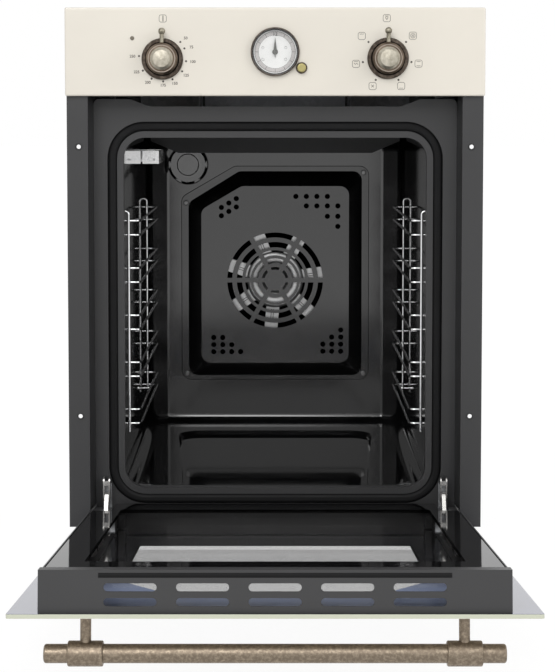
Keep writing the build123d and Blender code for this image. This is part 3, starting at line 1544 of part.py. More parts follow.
# Cooling air duct: a floor over the cavity with upturned sides, and two ribs in the outlet gap
duct_half_width = frame_half_width - 2 * casing_lip
with BuildPart() as air_duct:
    with BuildSketch(upright(duct_back)):
        with BuildLine():
            Polyline(
                (-duct_half_width, shelf_height),
                (-duct_half_width, duct_floor),
                (duct_half_width, duct_floor),
                (duct_half_width, shelf_height),
                (duct_half_width - sheet, shelf_height),
                (duct_half_width - sheet, duct_floor + sheet),
                (sheet - duct_half_width, duct_floor + sheet),
                (sheet - duct_half_width, shelf_height),
                close=True,
            )
        make_face()
    extrude(amount=duct_back - frame_setback - sheet)
    with BuildSketch(level(duct_floor)):
        with Locations((0, frame_setback + 2 * casing_lip)):
            with GridLocations(2 * duct_rib_x, 1, 2, 1):
                Rectangle(2 * sheet, casing_lip)
    extrude(amount=shelf_height - duct_floor)
air_duct.part.label = "air_duct"
export_step(air_duct.part, "parts/air_duct.step")

# Cooling blower: a cross-flow wheel with curved blades in a scroll housing, driven by a motor at its end
blower_axis = Axis((0, flange_y + blower_depth, blower_height), (1, 0, 0))
blower_half_length = blower_length / 2
with BuildPart() as blower_wheel:
    with BuildSketch(lengthwise(-blower_half_length)):
        with Locations((blower_depth, blower_height)):
            Circle(blower_radius)
    extrude(amount=sheet)
    with BuildSketch(lengthwise(blower_half_length - sheet)):
        with Locations((blower_depth, blower_height)):
            Circle(blower_radius)
    extrude(amount=sheet)
    with BuildSketch(lengthwise(sheet - blower_half_length)):
        with Locations((blower_depth, blower_height)):
            with PolarLocations(blower_radius - 2.5 * sheet, blower_blades):
                with Locations(Location((0, 0), blower_blade_angle)):
                    Rectangle(4 * sheet, sheet / 2)
    extrude(amount=blower_length - 2 * sheet)
    with BuildSketch(lengthwise(-blower_half_length - 5 * sheet)):
        with Locations((blower_depth, blower_height)):
            Circle(blower_shaft_radius)
    extrude(amount=5 * sheet)
    with BuildSketch(lengthwise(blower_half_length)):
        with Locations((blower_depth, blower_height)):
            Circle(blower_shaft_radius)
    extrude(amount=5 * sheet + blower_motor_length / 2)
blower_wheel.part.label = "blower_wheel"
export_step(blower_wheel.part, "parts/blower_wheel.step")

scroll_radius = blower_radius + blower_clearance
scroll_back = blower_depth + scroll_radius
scroll_top = blower_height + scroll_radius
scroll_bottom = duct_floor + sheet
housing_half_length = blower_half_length + 2 * sheet
with BuildPart() as blower_housing:
    with BuildSketch(lengthwise(-housing_half_length)):
        with BuildLine():
            Line((scroll_back, scroll_bottom), (scroll_back, blower_height))
            CenterArc((blower_depth, blower_height), scroll_radius, 0, 90)
            Line((blower_depth, scroll_top), (blower_depth, scroll_top - sheet))
            CenterArc((blower_depth, blower_height), scroll_radius - sheet, 0, 90)
            Line((scroll_back - sheet, blower_height), (scroll_back - sheet, scroll_bottom))
            Line((scroll_back - sheet, scroll_bottom), (scroll_back, scroll_bottom))
        make_face()
    extrude(amount=2 * housing_half_length)
    with BuildSketch(lengthwise(-housing_half_length - sheet)):
        with Locations((blower_depth, (scroll_bottom + scroll_top) / 2)):
            Rectangle(2 * scroll_radius, scroll_top - scroll_bottom)
        with Locations((blower_depth, blower_height)):
            Circle(blower_shaft_radius + running_gap, mode=Mode.SUBTRACT)
    extrude(amount=sheet)
    with BuildSketch(lengthwise(housing_half_length)):
        with Locations((blower_depth, (scroll_bottom + scroll_top) / 2)):
            Rectangle(2 * scroll_radius, scroll_top - scroll_bottom)
        with Locations((blower_depth, blower_height)):
            Circle(blower_shaft_radius + running_gap, mode=Mode.SUBTRACT)
    extrude(amount=sheet)
blower_housing.part.label = "blower_housing"
export_step(blower_housing.part, "parts/blower_housing.step")

with BuildPart() as blower_motor:
    with BuildSketch(lengthwise(housing_half_length + sheet)):
        with Locations((blower_depth, blower_height)):
            RectangleRounded(2 * blower_motor_radius, 2 * blower_motor_radius, 4 * sheet)
    extrude(amount=blower_motor_length)
    with BuildSketch(lengthwise(housing_half_length + sheet)):
        with Locations((blower_depth, blower_height)):
            Circle(blower_shaft_radius + running_gap)
    extrude(amount=0.7 * blower_motor_length, mode=Mode.SUBTRACT)
blower_motor.part.label = "blower_motor"
export_step(blower_motor.part, "parts/blower_motor.step")

# Mineral wool slabs beside and above the cavity
with BuildPart() as insulation:
    slab_start = housing_end + sheet
    slab_length = cavity_back - slab_start
    slab_x = cavity_half_width + sheet + soft_gap + insulation_thickness / 2
    with BuildSketch(level(tray_height + casing_lip)):
        with Locations((0, slab_start + slab_length / 2)):
            with GridLocations(2 * slab_x, 1, 2, 1):
                Rectangle(insulation_thickness, slab_length)
    extrude(amount=cavity_ceiling - tray_height - casing_lip)
    with BuildSketch(level(cavity_ceiling + sheet + soft_gap)):
        with Locations((0, slab_start + slab_length / 2)):
            Rectangle(2 * cavity_half_width, slab_length)
    extrude(amount=duct_floor - cavity_ceiling - sheet - 2 * soft_gap)
insulation.part.label = "insulation"
export_step(insulation.part, "parts/insulation.step")
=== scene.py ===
from math import cos, pi, radians, sin

import bpy
import numpy as np
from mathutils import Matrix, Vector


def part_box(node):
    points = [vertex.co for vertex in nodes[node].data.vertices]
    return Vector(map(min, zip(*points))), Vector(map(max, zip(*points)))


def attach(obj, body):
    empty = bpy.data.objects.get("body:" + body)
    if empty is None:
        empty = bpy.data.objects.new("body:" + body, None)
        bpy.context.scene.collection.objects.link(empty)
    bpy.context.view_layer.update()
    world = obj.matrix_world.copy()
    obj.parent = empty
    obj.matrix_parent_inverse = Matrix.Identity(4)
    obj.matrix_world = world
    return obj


# A built-in oven with its door open. Metres, X right, Y back, Z up, origin under the middle of the base.
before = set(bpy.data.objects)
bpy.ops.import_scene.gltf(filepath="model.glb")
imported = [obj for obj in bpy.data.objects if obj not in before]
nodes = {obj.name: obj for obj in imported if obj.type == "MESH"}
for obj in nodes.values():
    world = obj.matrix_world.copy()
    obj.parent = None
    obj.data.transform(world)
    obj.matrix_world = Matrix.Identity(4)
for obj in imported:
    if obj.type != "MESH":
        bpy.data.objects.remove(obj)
scene = bpy.context.scene
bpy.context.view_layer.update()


class Signal:
    """A value at one socket. Python's operators on it add Math nodes to its finish."""

    def __init__(self, finish, socket):
        self.finish = finish
        self.socket = socket

    def maths(self, operation, first, second=0.0):
        return self.finish.node("ShaderNodeMath", {"operation": operation}, {0: first, 1: second})

    def __add__(self, other):
        return self.maths("ADD", self, other)

    def __sub__(self, other):
        return self.maths("SUBTRACT", self, other)

    def __rsub__(self, other):
        return self.maths("SUBTRACT", other, self)

    def __mul__(self, other):
        return self.maths("MULTIPLY", self, other)

    def __lt__(self, other):
        return self.maths("LESS_THAN", self, other)

    def __gt__(self, other):
        return self.maths("GREATER_THAN", self, other)

    def __abs__(self):
        return self.maths("ABSOLUTE", self)

    __radd__ = __add__
    __rmul__ = __mul__


class Finish:
    """One procedural material on a Principled shader, read in Object coordinates."""

    def __init__(self, name, **constants):
        self.material = bpy.data.materials.new(name)
        self.material.use_nodes = True
        self.tree = self.material.node_tree
        self.shader = self.tree.nodes["Principled BSDF"]
        self.place = self.node("ShaderNodeTexCoord", output="Object")
        self.set(self.shader, constants)

    def set(self, shader, constants):
        for label, value in constants.items():
            socket = shader.inputs[label.replace("_", " ")]
            socket.default_value = (*value, 1.0) if isinstance(value, tuple) and len(value) == 3 else value

    def node(self, kind, settings=None, inputs=None, output=0):
        """Adds a node: its settings first, then its sockets' values or links."""
        node = self.tree.nodes.new(kind)
        for label, value in (settings or {}).items():
            setattr(node, label, value)
        for label, value in (inputs or {}).items():
            if isinstance(value, Signal):
                self.tree.links.new(value.socket, node.inputs[label])
            elif isinstance(value, tuple) and len(value) == 3 and node.inputs[label].type == "RGBA":
                node.inputs[label].default_value = (*value, 1.0)
            else:
                node.inputs[label].default_value = value
        return Signal(self, node.outputs[output])

    def noise(self, scale, detail=4.0, roughness=0.55, stretch=(1.0, 1.0, 1.0)):
        """Cloudy noise from about 0.3 to 0.7. The scale counts its lumps per metre."""
        where = self.node("ShaderNodeMapping", None, {"Vector": self.place, "Scale": stretch})
        return self.node(
            "ShaderNodeTexNoise", None,
            {"Vector": where, "Scale": scale, "Detail": detail, "Roughness": roughness},
        )

    def cells(self, scale):
        """A flat random value in each cell of a Voronoi pattern."""
        colour = self.node("ShaderNodeTexVoronoi", None, {"Vector": self.place, "Scale": scale}, "Color")
        return self.node("ShaderNodeSeparateColor", None, {"Color": colour})

    def axes(self):
        """The three Object coordinates as numbers."""
        return [self.node("ShaderNodeSeparateXYZ", None, {"Vector": self.place}, axis) for axis in "XYZ"]

    def ramp(self, signal, low, high):
        """A signal pulled apart so that low becomes 0 and high becomes 1, held between them."""
        return self.node(
            "ShaderNodeMapRange", {"clamp": True}, {"Value": signal, "From Min": low, "From Max": high}
        )

    def blend(self, factor, first, second):
        """One colour turning into another."""
        return self.node(
            "ShaderNodeMix", {"data_type": "RGBA"}, {"Factor": factor, 6: first, 7: second}, 2
        )

    def bump(self, height, distance):
        """A surface raised by the height times the distance in metres."""
        return self.node("ShaderNodeBump", None, {"Height": height, "Distance": distance})

    def feed(self, shader=None, **signals):
        """Links signals to the sockets of those names, on the first shader unless another is given."""
        for label, signal in signals.items():
            self.tree.links.new(signal.socket, (shader or self.shader).inputs[label.replace("_", " ")])
        return self

    def over(self, factor, **constants):
        """Lays a second Principled shader over the first one where the factor is 1."""
        second = self.tree.nodes.new("ShaderNodeBsdfPrincipled")
        self.set(second, constants)
        mixed = self.node(
            "ShaderNodeMixShader", None,
            {0: factor, 1: Signal(self, self.shader.outputs[0]), 2: Signal(self, second.outputs[0])},
        )
        self.tree.links.new(mixed.socket, self.tree.nodes["Material Output"].inputs["Surface"])
        return second


def linear(red, green, blue):
    """A picture's 0 to 255 colour as the linear light that Blender's sockets take."""
    share = np.array((red, green, blue)) / 255.0
    light = np.where(share <= 0.04045, share / 12.92, ((share + 0.055) / 1.055) ** 2.4)
    return tuple(float(v) for v in light)


def enamel(name, colour, roughness, coat=0.0):
    """Sprayed or fired enamel: cloudy colour, smeared gloss and a faint orange peel."""
    finish = Finish(name, Coat_Weight=coat, Coat_Roughness=0.08)
    cloud = finish.ramp(finish.noise(9.0), 0.3, 0.7)
    speck = finish.ramp(finish.noise(900.0, 2.0), 0.62, 0.75)
    shaded = finish.blend(cloud, tuple(0.94 * v for v in colour), colour)
    shaded = finish.blend(speck * 0.12, shaded, tuple(0.6 * v for v in colour))
    smear = finish.ramp(finish.noise(26.0, 5.0), 0.3, 0.7)
    return finish.feed(
        Base_Color=shaded,
        Roughness=smear * 0.08 + roughness,
        Normal=finish.bump(finish.noise(420.0, 2.0), 0.00002),
    )


def fired_enamel(name, colour, index, gloss=0.05):
    """Black enamel fired on sheet steel: a near-black body under a glassy skin with wiped smears."""
    finish = Finish(name, IOR=index)
    cloud = finish.ramp(finish.noise(9.0), 0.3, 0.7)
    smear = finish.ramp(finish.noise(22.0, 5.0), 0.35, 0.75)
    return finish.feed(
        Base_Color=finish.blend(cloud, tuple(0.8 * v for v in colour), colour),
        Roughness=smear * 0.04 + gloss,
        Normal=finish.bump(finish.noise(260.0, 2.0), 0.000003),
    )


# The part of the cavity's back wall that the fan cover hides, with the cover's cut corner at its upper left;
# it gets painted shade there
hidden_half_width = 0.114
hidden_bottom = 0.133
hidden_top = 0.403
hidden_cut_height = 0.433
hidden_cut_slope = 0.5816
back_wall_start = 0.17
dull_wall_start = 0.13


def paint_shade_behind_cover(finish):
    """Painted shade: deep black where the cover hides the cavity's back wall, for the shadow behind the
    cover, and a duller skin on the rest of that wall.
    """
    across, back, up = finish.axes()
    under_cut = up - across * hidden_cut_slope < hidden_cut_height
    between = (up > hidden_bottom) * (up < hidden_top)
    shade_behind_mask = (abs(across) < hidden_half_width) * between * (back > back_wall_start) * under_cut
    # Painted shade: the wall behind the cover is made deep black and matt, as the shadow there
    finish.over(shade_behind_mask, Base_Color=(0.001, 0.001, 0.001), Roughness=0.9, Specular_IOR_Level=0.02)
    smear = finish.ramp(finish.noise(22.0, 5.0), 0.35, 0.75)
    finish.feed(Roughness=smear * 0.04 + 0.045 + (back > dull_wall_start) * 0.075)


def metal(name, colour, roughness, stretch=(1.0, 1.0, 1.0), grain=300.0):
    """Rolled or drawn metal: fine grain along the stretched way, with dull smears."""
    finish = Finish(name, Metallic=1.0)
    lines = finish.ramp(finish.noise(grain, 3.0, 0.6, stretch), 0.3, 0.7)
    smear = finish.ramp(finish.noise(30.0, 5.0), 0.35, 0.7)
    return finish.feed(
        Base_Color=finish.blend(lines, tuple(0.86 * v for v in colour), colour),
        Roughness=lines * 0.06 + smear * 0.08 + roughness,
        Normal=finish.bump(lines, 0.00001),
    )


def galvanised(name):
    """Zinc-coated sheet: spangles about 8 mm across, each with its own grey and gloss."""
    finish = Finish(name, Metallic=1.0)
    spangle = finish.cells(120.0)
    cloud = finish.ramp(finish.noise(14.0), 0.3, 0.7)
    grey = finish.blend(spangle, (0.36, 0.37, 0.39), (0.52, 0.53, 0.55))
    return finish.feed(
        Base_Color=finish.blend(cloud * 0.3, grey, (0.30, 0.30, 0.31)),
        Roughness=spangle * 0.12 + cloud * 0.1 + 0.3,
        Normal=finish.bump(finish.noise(500.0, 2.0), 0.00001),
    )


def aged(name, dark, light, roughness, scale=140.0):
    """Aged cast metal: dark patina with rubbed, lighter spots and small pits."""
    finish = Finish(name, Metallic=1.0)
    rubbed = finish.ramp(finish.noise(scale, 6.0, 0.65), 0.44, 0.66)
    pits = finish.ramp(finish.noise(900.0, 3.0), 0.55, 0.72)
    return finish.feed(
        Base_Color=finish.blend(rubbed, dark, light),
        Roughness=roughness - rubbed * 0.1 + pits * 0.15,
        Normal=finish.bump(rubbed * 0.5 - pits, 0.00005),
    )


def moulded(name, colour, roughness, **constants):
    """Moulded plastic or rubber: an even colour with a fine grained face."""
    finish = Finish(name, **constants)
    cloud = finish.ramp(finish.noise(40.0), 0.3, 0.7)
    return finish.feed(
        Base_Color=finish.blend(cloud, tuple(0.85 * v for v in colour), colour),
        Roughness=cloud * 0.1 + roughness,
        Normal=finish.bump(finish.noise(700.0, 3.0), 0.00004),
    )


def pane(name, colour, mirror):
    """Float glass: the mirror's share of the light comes back and the rest goes straight through."""
    finish = Finish(name, Base_Color=colour, Metallic=1.0, Alpha=mirror)
    smear = finish.ramp(finish.noise(16.0, 5.0), 0.4, 0.75)
    return finish.feed(Roughness=smear * 0.03 + 0.01)


def wool(name):
    """Mineral wool: yellow-brown, matted fibres lying along the slab."""
    finish = Finish(name, Roughness=0.95)
    fibre = finish.ramp(finish.noise(500.0, 6.0, 0.7, (1.0, 0.2, 1.0)), 0.3, 0.7)
    return finish.feed(
        Base_Color=finish.blend(fibre, linear(130, 112, 72), linear(196, 180, 128)),
        Normal=finish.bump(fibre, 0.0008),
    )


ivory = enamel("ivory_enamel", linear(231, 225, 213), 0.28, 0.4)
black = fired_enamel("black_enamel", linear(16, 16, 17), 1.8)
paint_shade_behind_cover(black)
frame_black = enamel("front_frame_enamel", linear(50, 50, 51), 0.34)
cover_black = fired_enamel("fan_cover_enamel", linear(26, 26, 27), 1.75, 0.13)
baffle_black = moulded("baffle_enamel", linear(80, 80, 81), 0.4, Specular_IOR_Level=0.25)
duct_black = moulded("duct_paint", linear(14, 14, 15), 0.5, Specular_IOR_Level=0.15)
door_black = enamel("door_frame_paint", linear(54, 54, 55), 0.38)
zinc = galvanised("galvanised_sheet")
steel = metal("bare_steel", (0.58, 0.57, 0.55), 0.22, (1.0, 0.08, 1.0))
# Painted light: steel with its base raised near white, for the strong light falling on the sensor bracket
sensor_steel_painted_light = metal("sensor_steel_painted_light", (0.95, 0.95, 0.95), 0.10, grain=200.0)
screw_steel = metal("dark_screw_steel", (0.22, 0.22, 0.22), 0.25)
wire = metal("chromed_wire", (0.80, 0.80, 0.81), 0.10, grain=120.0)
fan_sheet = metal("fan_aluminium", (0.50, 0.50, 0.50), 0.30)
heater = aged("element_tube", (0.10, 0.09, 0.085), (0.26, 0.22, 0.19), 0.45)
bronze = aged("aged_bronze", linear(124, 112, 98), linear(156, 143, 126), 0.44, 330.0)
rose_bronze = aged("rose_bronze", linear(66, 58, 52), linear(108, 98, 88), 0.36, 160.0)
brass = metal("button_brass", linear(172, 162, 112), 0.34)
rubber = moulded("black_silicone", linear(18, 18, 19), 0.6, Specular_IOR_Level=0.2)
plastic = moulded("black_plastic", linear(32, 32, 34), 0.42)
steatite = moulded("lamp_ceramic", linear(216, 210, 198), 0.5)
dial_paint = moulded("dial_paint", linear(254, 254, 252), 0.5)
hand_paint = moulded("hand_paint", linear(98, 98, 94), 0.4)
lens = moulded("pilot_lens", linear(120, 112, 98), 0.2)
clear = pane("clear_glass", (0.90, 0.92, 0.91), 0.03)
lamp_pane = pane("lamp_glass", (0.13, 0.13, 0.13), 0.75)
bulb_pane = pane("bulb_glass", (0.90, 0.90, 0.90), 0.15)
slab = wool("mineral_wool")


# A knob's face, in metres from its axis: a pale disc, a thin light ring round it, and the pointer's inner end
disc_radius = 0.0121
ring_inner_radius = 0.0136
ring_outer_radius = 0.0146
pointer_start = 0.0172


def knob_metal(name, axis_x, axis_z):
    """A dark bronze knob with a pale pewter disc in its front and a pointer between the two colours."""
    finish = aged(name, linear(70, 58, 49), linear(108, 95, 84), 0.42, 60.0)
    across, _, up = finish.axes()
    aside = across - axis_x
    over_axis = up - axis_z
    radius = finish.node("ShaderNodeMath", {"operation": "SQRT"}, {0: aside * aside + over_axis * over_axis})
    rubbed = finish.ramp(finish.noise(260.0, 5.0, 0.6), 0.4, 0.7)
    disc = finish.blend(rubbed, linear(160, 154, 140), linear(194, 188, 174))
    pointer = finish.blend(rubbed, linear(118, 113, 99), linear(168, 162, 147))
    body = finish.blend(finish.ramp(finish.noise(90.0), 0.4, 0.65), linear(86, 74, 63), linear(126, 112, 98))
    on_pointer = (radius > pointer_start) * (over_axis > 0.0)
    ring = (radius > ring_inner_radius) * (radius < ring_outer_radius)
    colour = finish.blend(on_pointer, body, pointer)
    colour = finish.blend(ring, colour, linear(150, 140, 130))
    colour = finish.blend(radius < disc_radius, colour, disc)
    return finish.feed(Base_Color=colour)


thermostat_metal = knob_metal("thermostat_knob_metal", -0.120, 0.5404)
selector_metal = knob_metal("selector_knob_metal", 0.120, 0.541)

# The inner pane: a mirror-coated window inside a black printed border
inner_half_width = 0.165
inner_near_edge = -0.6462
inner_far_edge = -0.290
inner = pane("door_inner_pane", (0.92, 0.88, 0.86), 0.08)
across, back, _ = inner.axes()
border = ((abs(across) > inner_half_width) + (back < inner_near_edge) + (back > inner_far_edge)) > 0.5
inner.over(border, Base_Color=linear(16, 16, 17), Roughness=0.05, Specular_IOR_Level=0.12)

# The outer glass: a window with two cut corners in an ivory print, which looks bluish from inside the door.
# Seen from inside at a slant, the outside face's print would hide the window's far strip, so a strip of it
# is clear there. The open door rises towards its free end by its slope, and middle_level tells the two faces
# apart.
window_half_width = 0.1437
window_near_edge = -0.612
window_far_edge = -0.3257
cut_half_width = 0.1309
cut_edge = -0.5618
cut_slope = 1.438
door_slope = 0.1051
middle_level = -0.0075
clear_strip = 0.026
outer_mirror = 0.36
outer = pane("door_outer_pane", (0.30, 0.29, 0.29), outer_mirror)
across, back, up = outer.axes()
facing = outer.node("ShaderNodeTexCoord", output="Normal")
upwards = outer.node("ShaderNodeSeparateXYZ", None, {"Vector": facing}, "Z")
seen_through = (up + back * door_slope < middle_level) * (upwards > 0.5)
aside = abs(across)
cut_corner = back - cut_edge + cut_slope * (cut_half_width - aside) < 0.0
past_far_edge = back - seen_through * clear_strip > window_far_edge
border = ((aside > window_half_width) + (back < window_near_edge) + past_far_edge + cut_corner) > 0.5
printed = outer.over(border, Roughness=0.12, Coat_Weight=0.5)
# Painted light and shade: from inside the door, the print's bluish back is painted pale near the free end,
# where light comes in, and dark grey towards the hinge, as shade inside the door; under the end cap it is
# nearly black
inside_print_and_painted_light = outer.blend(outer.ramp(back, -0.60, -0.46), linear(200, 215, 255), linear(58, 58, 62))
frame_half_width = 0.196
cap_half_width = 0.197
cap_foot = -0.700
inside_print_and_painted_light = outer.blend(aside > frame_half_width, inside_print_and_painted_light, linear(110, 113, 138))
under_cap = (aside < cap_half_width) * (back < cap_foot)
inside_print_and_painted_light = outer.blend(under_cap, inside_print_and_painted_light, linear(10, 10, 11))
print_colour = outer.blend(upwards > 0.5, linear(203, 206, 186), inside_print_and_painted_light)
print_colour = outer.blend(upwards < -0.5, print_colour, linear(231, 225, 213))
outer.feed(printed, Base_Color=print_colour)
outer.feed(Alpha=outer_mirror - seen_through * (back > window_far_edge) * outer_mirror)

# Each finish, and the CAD nodes that wear it
finishes = (
    (ivory, "control_panel"),
    (frame_black, "front_frame", "cabinet_flanges"),
    (black, "cavity"),
    (baffle_black, "ceiling_baffle"),
    (duct_black, "air_duct"),
    (cover_black, "fan_cover"),
    (door_black, "door_frame", "door_end_cap"),
    (
        zinc, "base_tray", "blower_housing", "control_carrier", "hinge_housings", "rear_casing",
        "side_casings", "top_casing",
    ),
    (
        steel, "blower_motor", "fan_motor", "handle_screws", "hinge_arms", "hinge_channels",
        "hinge_lock_left", "hinge_lock_right", "selector_shaft", "thermostat_shaft",
    ),
    (sensor_steel_painted_light, "sensor_bracket"),
    (screw_steel, "fan_cover_screws"),
    (wire, "rack_studs", "side_racks"),
    (fan_sheet, "blower_wheel", "fan_wheel"),
    (heater, "bottom_element", "grill_element"),
    (bronze, "handle_bar", "handle_collars", "handle_posts"),
    (rose_bronze, "button_collar", "clock_bezel", "control_roses"),
    (thermostat_metal, "thermostat_knob"),
    (selector_metal, "selector_knob"),
    (brass, "clock_button"),
    (rubber, "door_gasket", "glass_spacers"),
    (plastic, "cable_gland", "clock_case", "selector_switch", "thermostat_switch"),
    (steatite, "lamp_socket"),
    (dial_paint, "clock_dial"),
    (hand_paint, "hour_hand", "minute_hand"),
    (lens, "pilot_lamp"),
    (clear, "clock_glass", "door_middle_glass"),
    (lamp_pane, "lamp_glass"),
    (bulb_pane, "lamp_bulb"),
    (inner, "door_inner_glass"),
    (outer, "door_outer_glass"),
    (slab, "insulation"),
)
for finish, *names in finishes:
    for name in names:
        nodes[name].data.materials.clear()
        nodes[name].data.materials.append(finish.material)


def dots(places, radius, sides=24):
    """Filled discs at the places: (x + r cos t, z + r sin t), with t in equal steps round the turn."""
    turn = np.linspace(0.0, 2.0 * pi, sides, endpoint=False)
    rim = radius * np.stack((np.cos(turn), np.sin(turn)), axis=1)
    points = (np.asarray(places, float).reshape(-1, 1, 2) + rim).reshape(-1, 2)
    return points, np.arange(len(points)).reshape(-1, sides).tolist()


def stroke(path, width):
    """A line of even width: each point p of the path becomes p - n w/2 and p + n w/2, n across the path."""
    path = np.asarray(path, float)
    along = np.gradient(path, axis=0)
    along /= np.linalg.norm(along, axis=1, keepdims=True)
    across = np.stack((-along[:, 1], along[:, 0]), axis=1) * width / 2
    points = np.concatenate((path - across, path + across))
    first = np.arange(len(path) - 1)
    return points, np.stack((first, first + 1, first + 1 + len(path), first + len(path)), axis=1).tolist()


def arc(centre, radius, start, end, steps=48):
    """Points (x + r cos t, z + r sin t) for t from start to end, in degrees."""
    turn = np.radians(np.linspace(start, end, steps))
    return np.asarray(centre) + radius * np.stack((np.cos(turn), np.sin(turn)), axis=1)


def clockwise(angles):
    """Unit steps (sin a, cos a) in the panel's face, for angles in degrees clockwise from the top."""
    turn = np.radians(angles)
    return np.stack((np.sin(turn), np.cos(turn)), axis=1)


def word(text, place, height):
    """A word's outline from Blender's own font, centred on the place, with capitals of the height."""
    curve = bpy.data.curves.new("word", "FONT")
    curve.body = text
    capital_share = 0.7
    bolder = 0.03
    curve.size = height / capital_share
    curve.align_x = "CENTER"
    curve.align_y = "CENTER"
    curve.resolution_u = 3
    curve.offset = bolder * height
    holder = bpy.data.objects.new("word", curve)
    mesh = bpy.data.meshes.new_from_object(holder)
    corners = np.zeros(len(mesh.vertices) * 3)
    mesh.vertices.foreach_get("co", corners)
    flat = corners.reshape(-1, 3)[:, :2]
    faces = [list(face.vertices) for face in mesh.polygons]
    bpy.data.objects.remove(holder)
    bpy.data.curves.remove(curve)
    bpy.data.meshes.remove(mesh)
    return flat + np.asarray(place), faces


def add_piece(name, corners, faces, finish, body):
    """A new piece at the origin, with one finish, that rides on a body."""
    mesh = bpy.data.meshes.new(name)
    mesh.from_pydata(corners.tolist(), [], faces)
    mesh.materials.append(finish.material)
    piece = bpy.data.objects.new(name, mesh)
    scene.collection.objects.link(piece)
    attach(piece, body)
    return piece


def print_on(name, shapes, depth, finish, body):
    """One flat piece facing the viewer: the shapes' points (x, z) all stand at the one depth y."""
    counts = np.cumsum([0] + [len(points) for points, _ in shapes])
    flat = np.concatenate([points for points, _ in shapes])
    corners = np.column_stack((flat[:, 0], np.full(len(flat), depth), flat[:, 1]))
    faces = [[int(i + start) for i in face] for start, (_, group) in zip(counts, shapes) for face in group]
    add_piece(name, corners, faces, finish, body)


# Painted shade: near-black ink for the contact shadow round the fan cover and the shade along each pressed
# rib of the fan arms
painted_shade_ink = moulded("painted_contact_shade", (0.002, 0.002, 0.002), 0.8, Specular_IOR_Level=0.05)
ink = moulded("panel_ink", linear(58, 52, 46), 0.5)
pale_ink = moulded("pale_panel_ink", linear(88, 82, 74), 0.5)
clock_ink = moulded("clock_ink", linear(72, 71, 70), 0.5)
clock_grey = moulded("clock_ring_grey", linear(214, 210, 208), 0.5)

# Marks on the panel's face: a dot at each setting, the temperatures, and one boxed sign per heating mode
print_gap = 0.00005
panel_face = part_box("control_panel")[0][1] - print_gap
thermostat_axis = np.array((-0.1197, 0.5417))
selector_axis = np.array((0.1192, 0.5414))
dot_radius = 0.0011
heat_dot_circle = 0.0252
mode_dot_circle = 0.0262
heat_angles = (48.5, 67.0, 98.5, 125.0, 155.5, 179.0, 208.0, 237.0, 274.0)
mode_angles = (49.7, 99.5, 152.5, -152.5, -99.5, -49.7)
print_on("panel_dots", [
    dots(thermostat_axis + heat_dot_circle * clockwise(heat_angles), dot_radius),
    dots(selector_axis + mode_dot_circle * clockwise(mode_angles), dot_radius),
], panel_face, ink, "oven")
lowest_heat = 50
heat_step = 25
number_height = 0.0029
number_offsets = 1e-3 * np.array((
    (24.6, 20.7), (30.7, 11.1), (32.0, -4.3), (24.9, -18.8), (12.8, -27.4), (0.4, -29.3), (-15.9, -26.3),
    (-27.7, -15.2), (-32.1, 1.4),
))
print_on("thermostat_numbers", [
    word(str(lowest_heat + heat_step * step), thermostat_axis + offset, number_height)
    for step, offset in enumerate(number_offsets)
], panel_face, pale_ink, "oven")


def sign(marks, centre, half=0.00385, width=0.00048):
    """A rounded box with marks in it: each mark is a path in a square from -1 to 1, or a disc's radius."""
    corner = 0.55
    turns = [arc((sx * (1 - corner), sz * (1 - corner)), corner, start, start + 90, 8)
             for sx, sz, start in ((1, 1, 0), (-1, 1, 90), (-1, -1, 180), (1, -1, 270))]
    box = np.concatenate(turns + [turns[0][:1]])
    paths = [box] + [np.asarray(mark, float) for mark in marks]
    return [stroke(path * half + centre, width) for path in paths]


zigzag = [(x, 0.55 + 0.16 * (-1) ** step) for step, x in enumerate(np.linspace(-0.55, 0.55, 8))]
lower_bar = [(-0.55, -0.6), (0.55, -0.6)]
upper_bar = [(-0.55, 0.6), (0.55, 0.6)]
blades = [[(-0.35, -0.35), (0.35, 0.35)], [(-0.35, 0.35), (0.35, -0.35)]]
fan_ring = arc((0, 0), 0.62, 0, 360, 24)
wave = [(x, 0.14 * sin(9.0 * x)) for x in np.linspace(-0.6, 0.6, 24)]
bulb = [arc((0, 0.1), 0.32, 0, 360, 20), [(-0.14, -0.4), (0.14, -0.4)]]
mode_offsets = 1e-3 * np.array((
    (27.2, 23.6), (33.4, -6.0), (15.0, -29.7), (-15.4, -29.8), (-33.2, -6.2), (-27.1, 23.3),
))
modes = (blades + [fan_ring], [upper_bar, lower_bar], [lower_bar], blades, [upper_bar, wave], [zigzag])
thermometer = [[(0, -0.8), (0, 0.8)], [(0.12, -0.8), (0.12, 0.8)]]
signs = sign(bulb + [upper_bar], selector_axis + np.array((-0.0006, 0.0422)))
for marks, offset in zip(modes, mode_offsets):
    signs += sign(marks, selector_axis + offset)
signs += sign(thermometer, thermostat_axis + np.array((0.0003, 0.0415)))
print_on("mode_signs", signs, panel_face, pale_ink, "oven")

# The clock's print: a grey hour ring between two thin circles, a minute track, the hours and four small signs
clock_axis = np.array((0.0, 0.548))
dial_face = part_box("clock_dial")[0][1]
ring_radius = 0.0197
ring_width = 0.0038
inner_circle = 0.0177
outer_circle = 0.0217
tick_end = 0.0216
hour_tick_start = 0.0180
minute_tick_start = 0.0207
hour_tick_width = 0.0004
minute_tick_width = 0.00018
outer_line = 0.0003
fine_line = 0.00022
round_steps = 96
hour_ring = stroke(arc(clock_axis, ring_radius, 90, 450, round_steps), ring_width)
print_on("clock_hour_ring", [hour_ring], dial_face - print_gap, clock_grey, "oven")
ticks = []
for step, way in enumerate(clockwise(np.arange(0, 360, 6))):
    on_hour = step % 5 == 0
    tick_start, tick_width = (
        (hour_tick_start, hour_tick_width) if on_hour else (minute_tick_start, minute_tick_width)
    )
    if step:
        ticks.append(stroke(clock_axis + np.outer((tick_start, tick_end), way), tick_width))
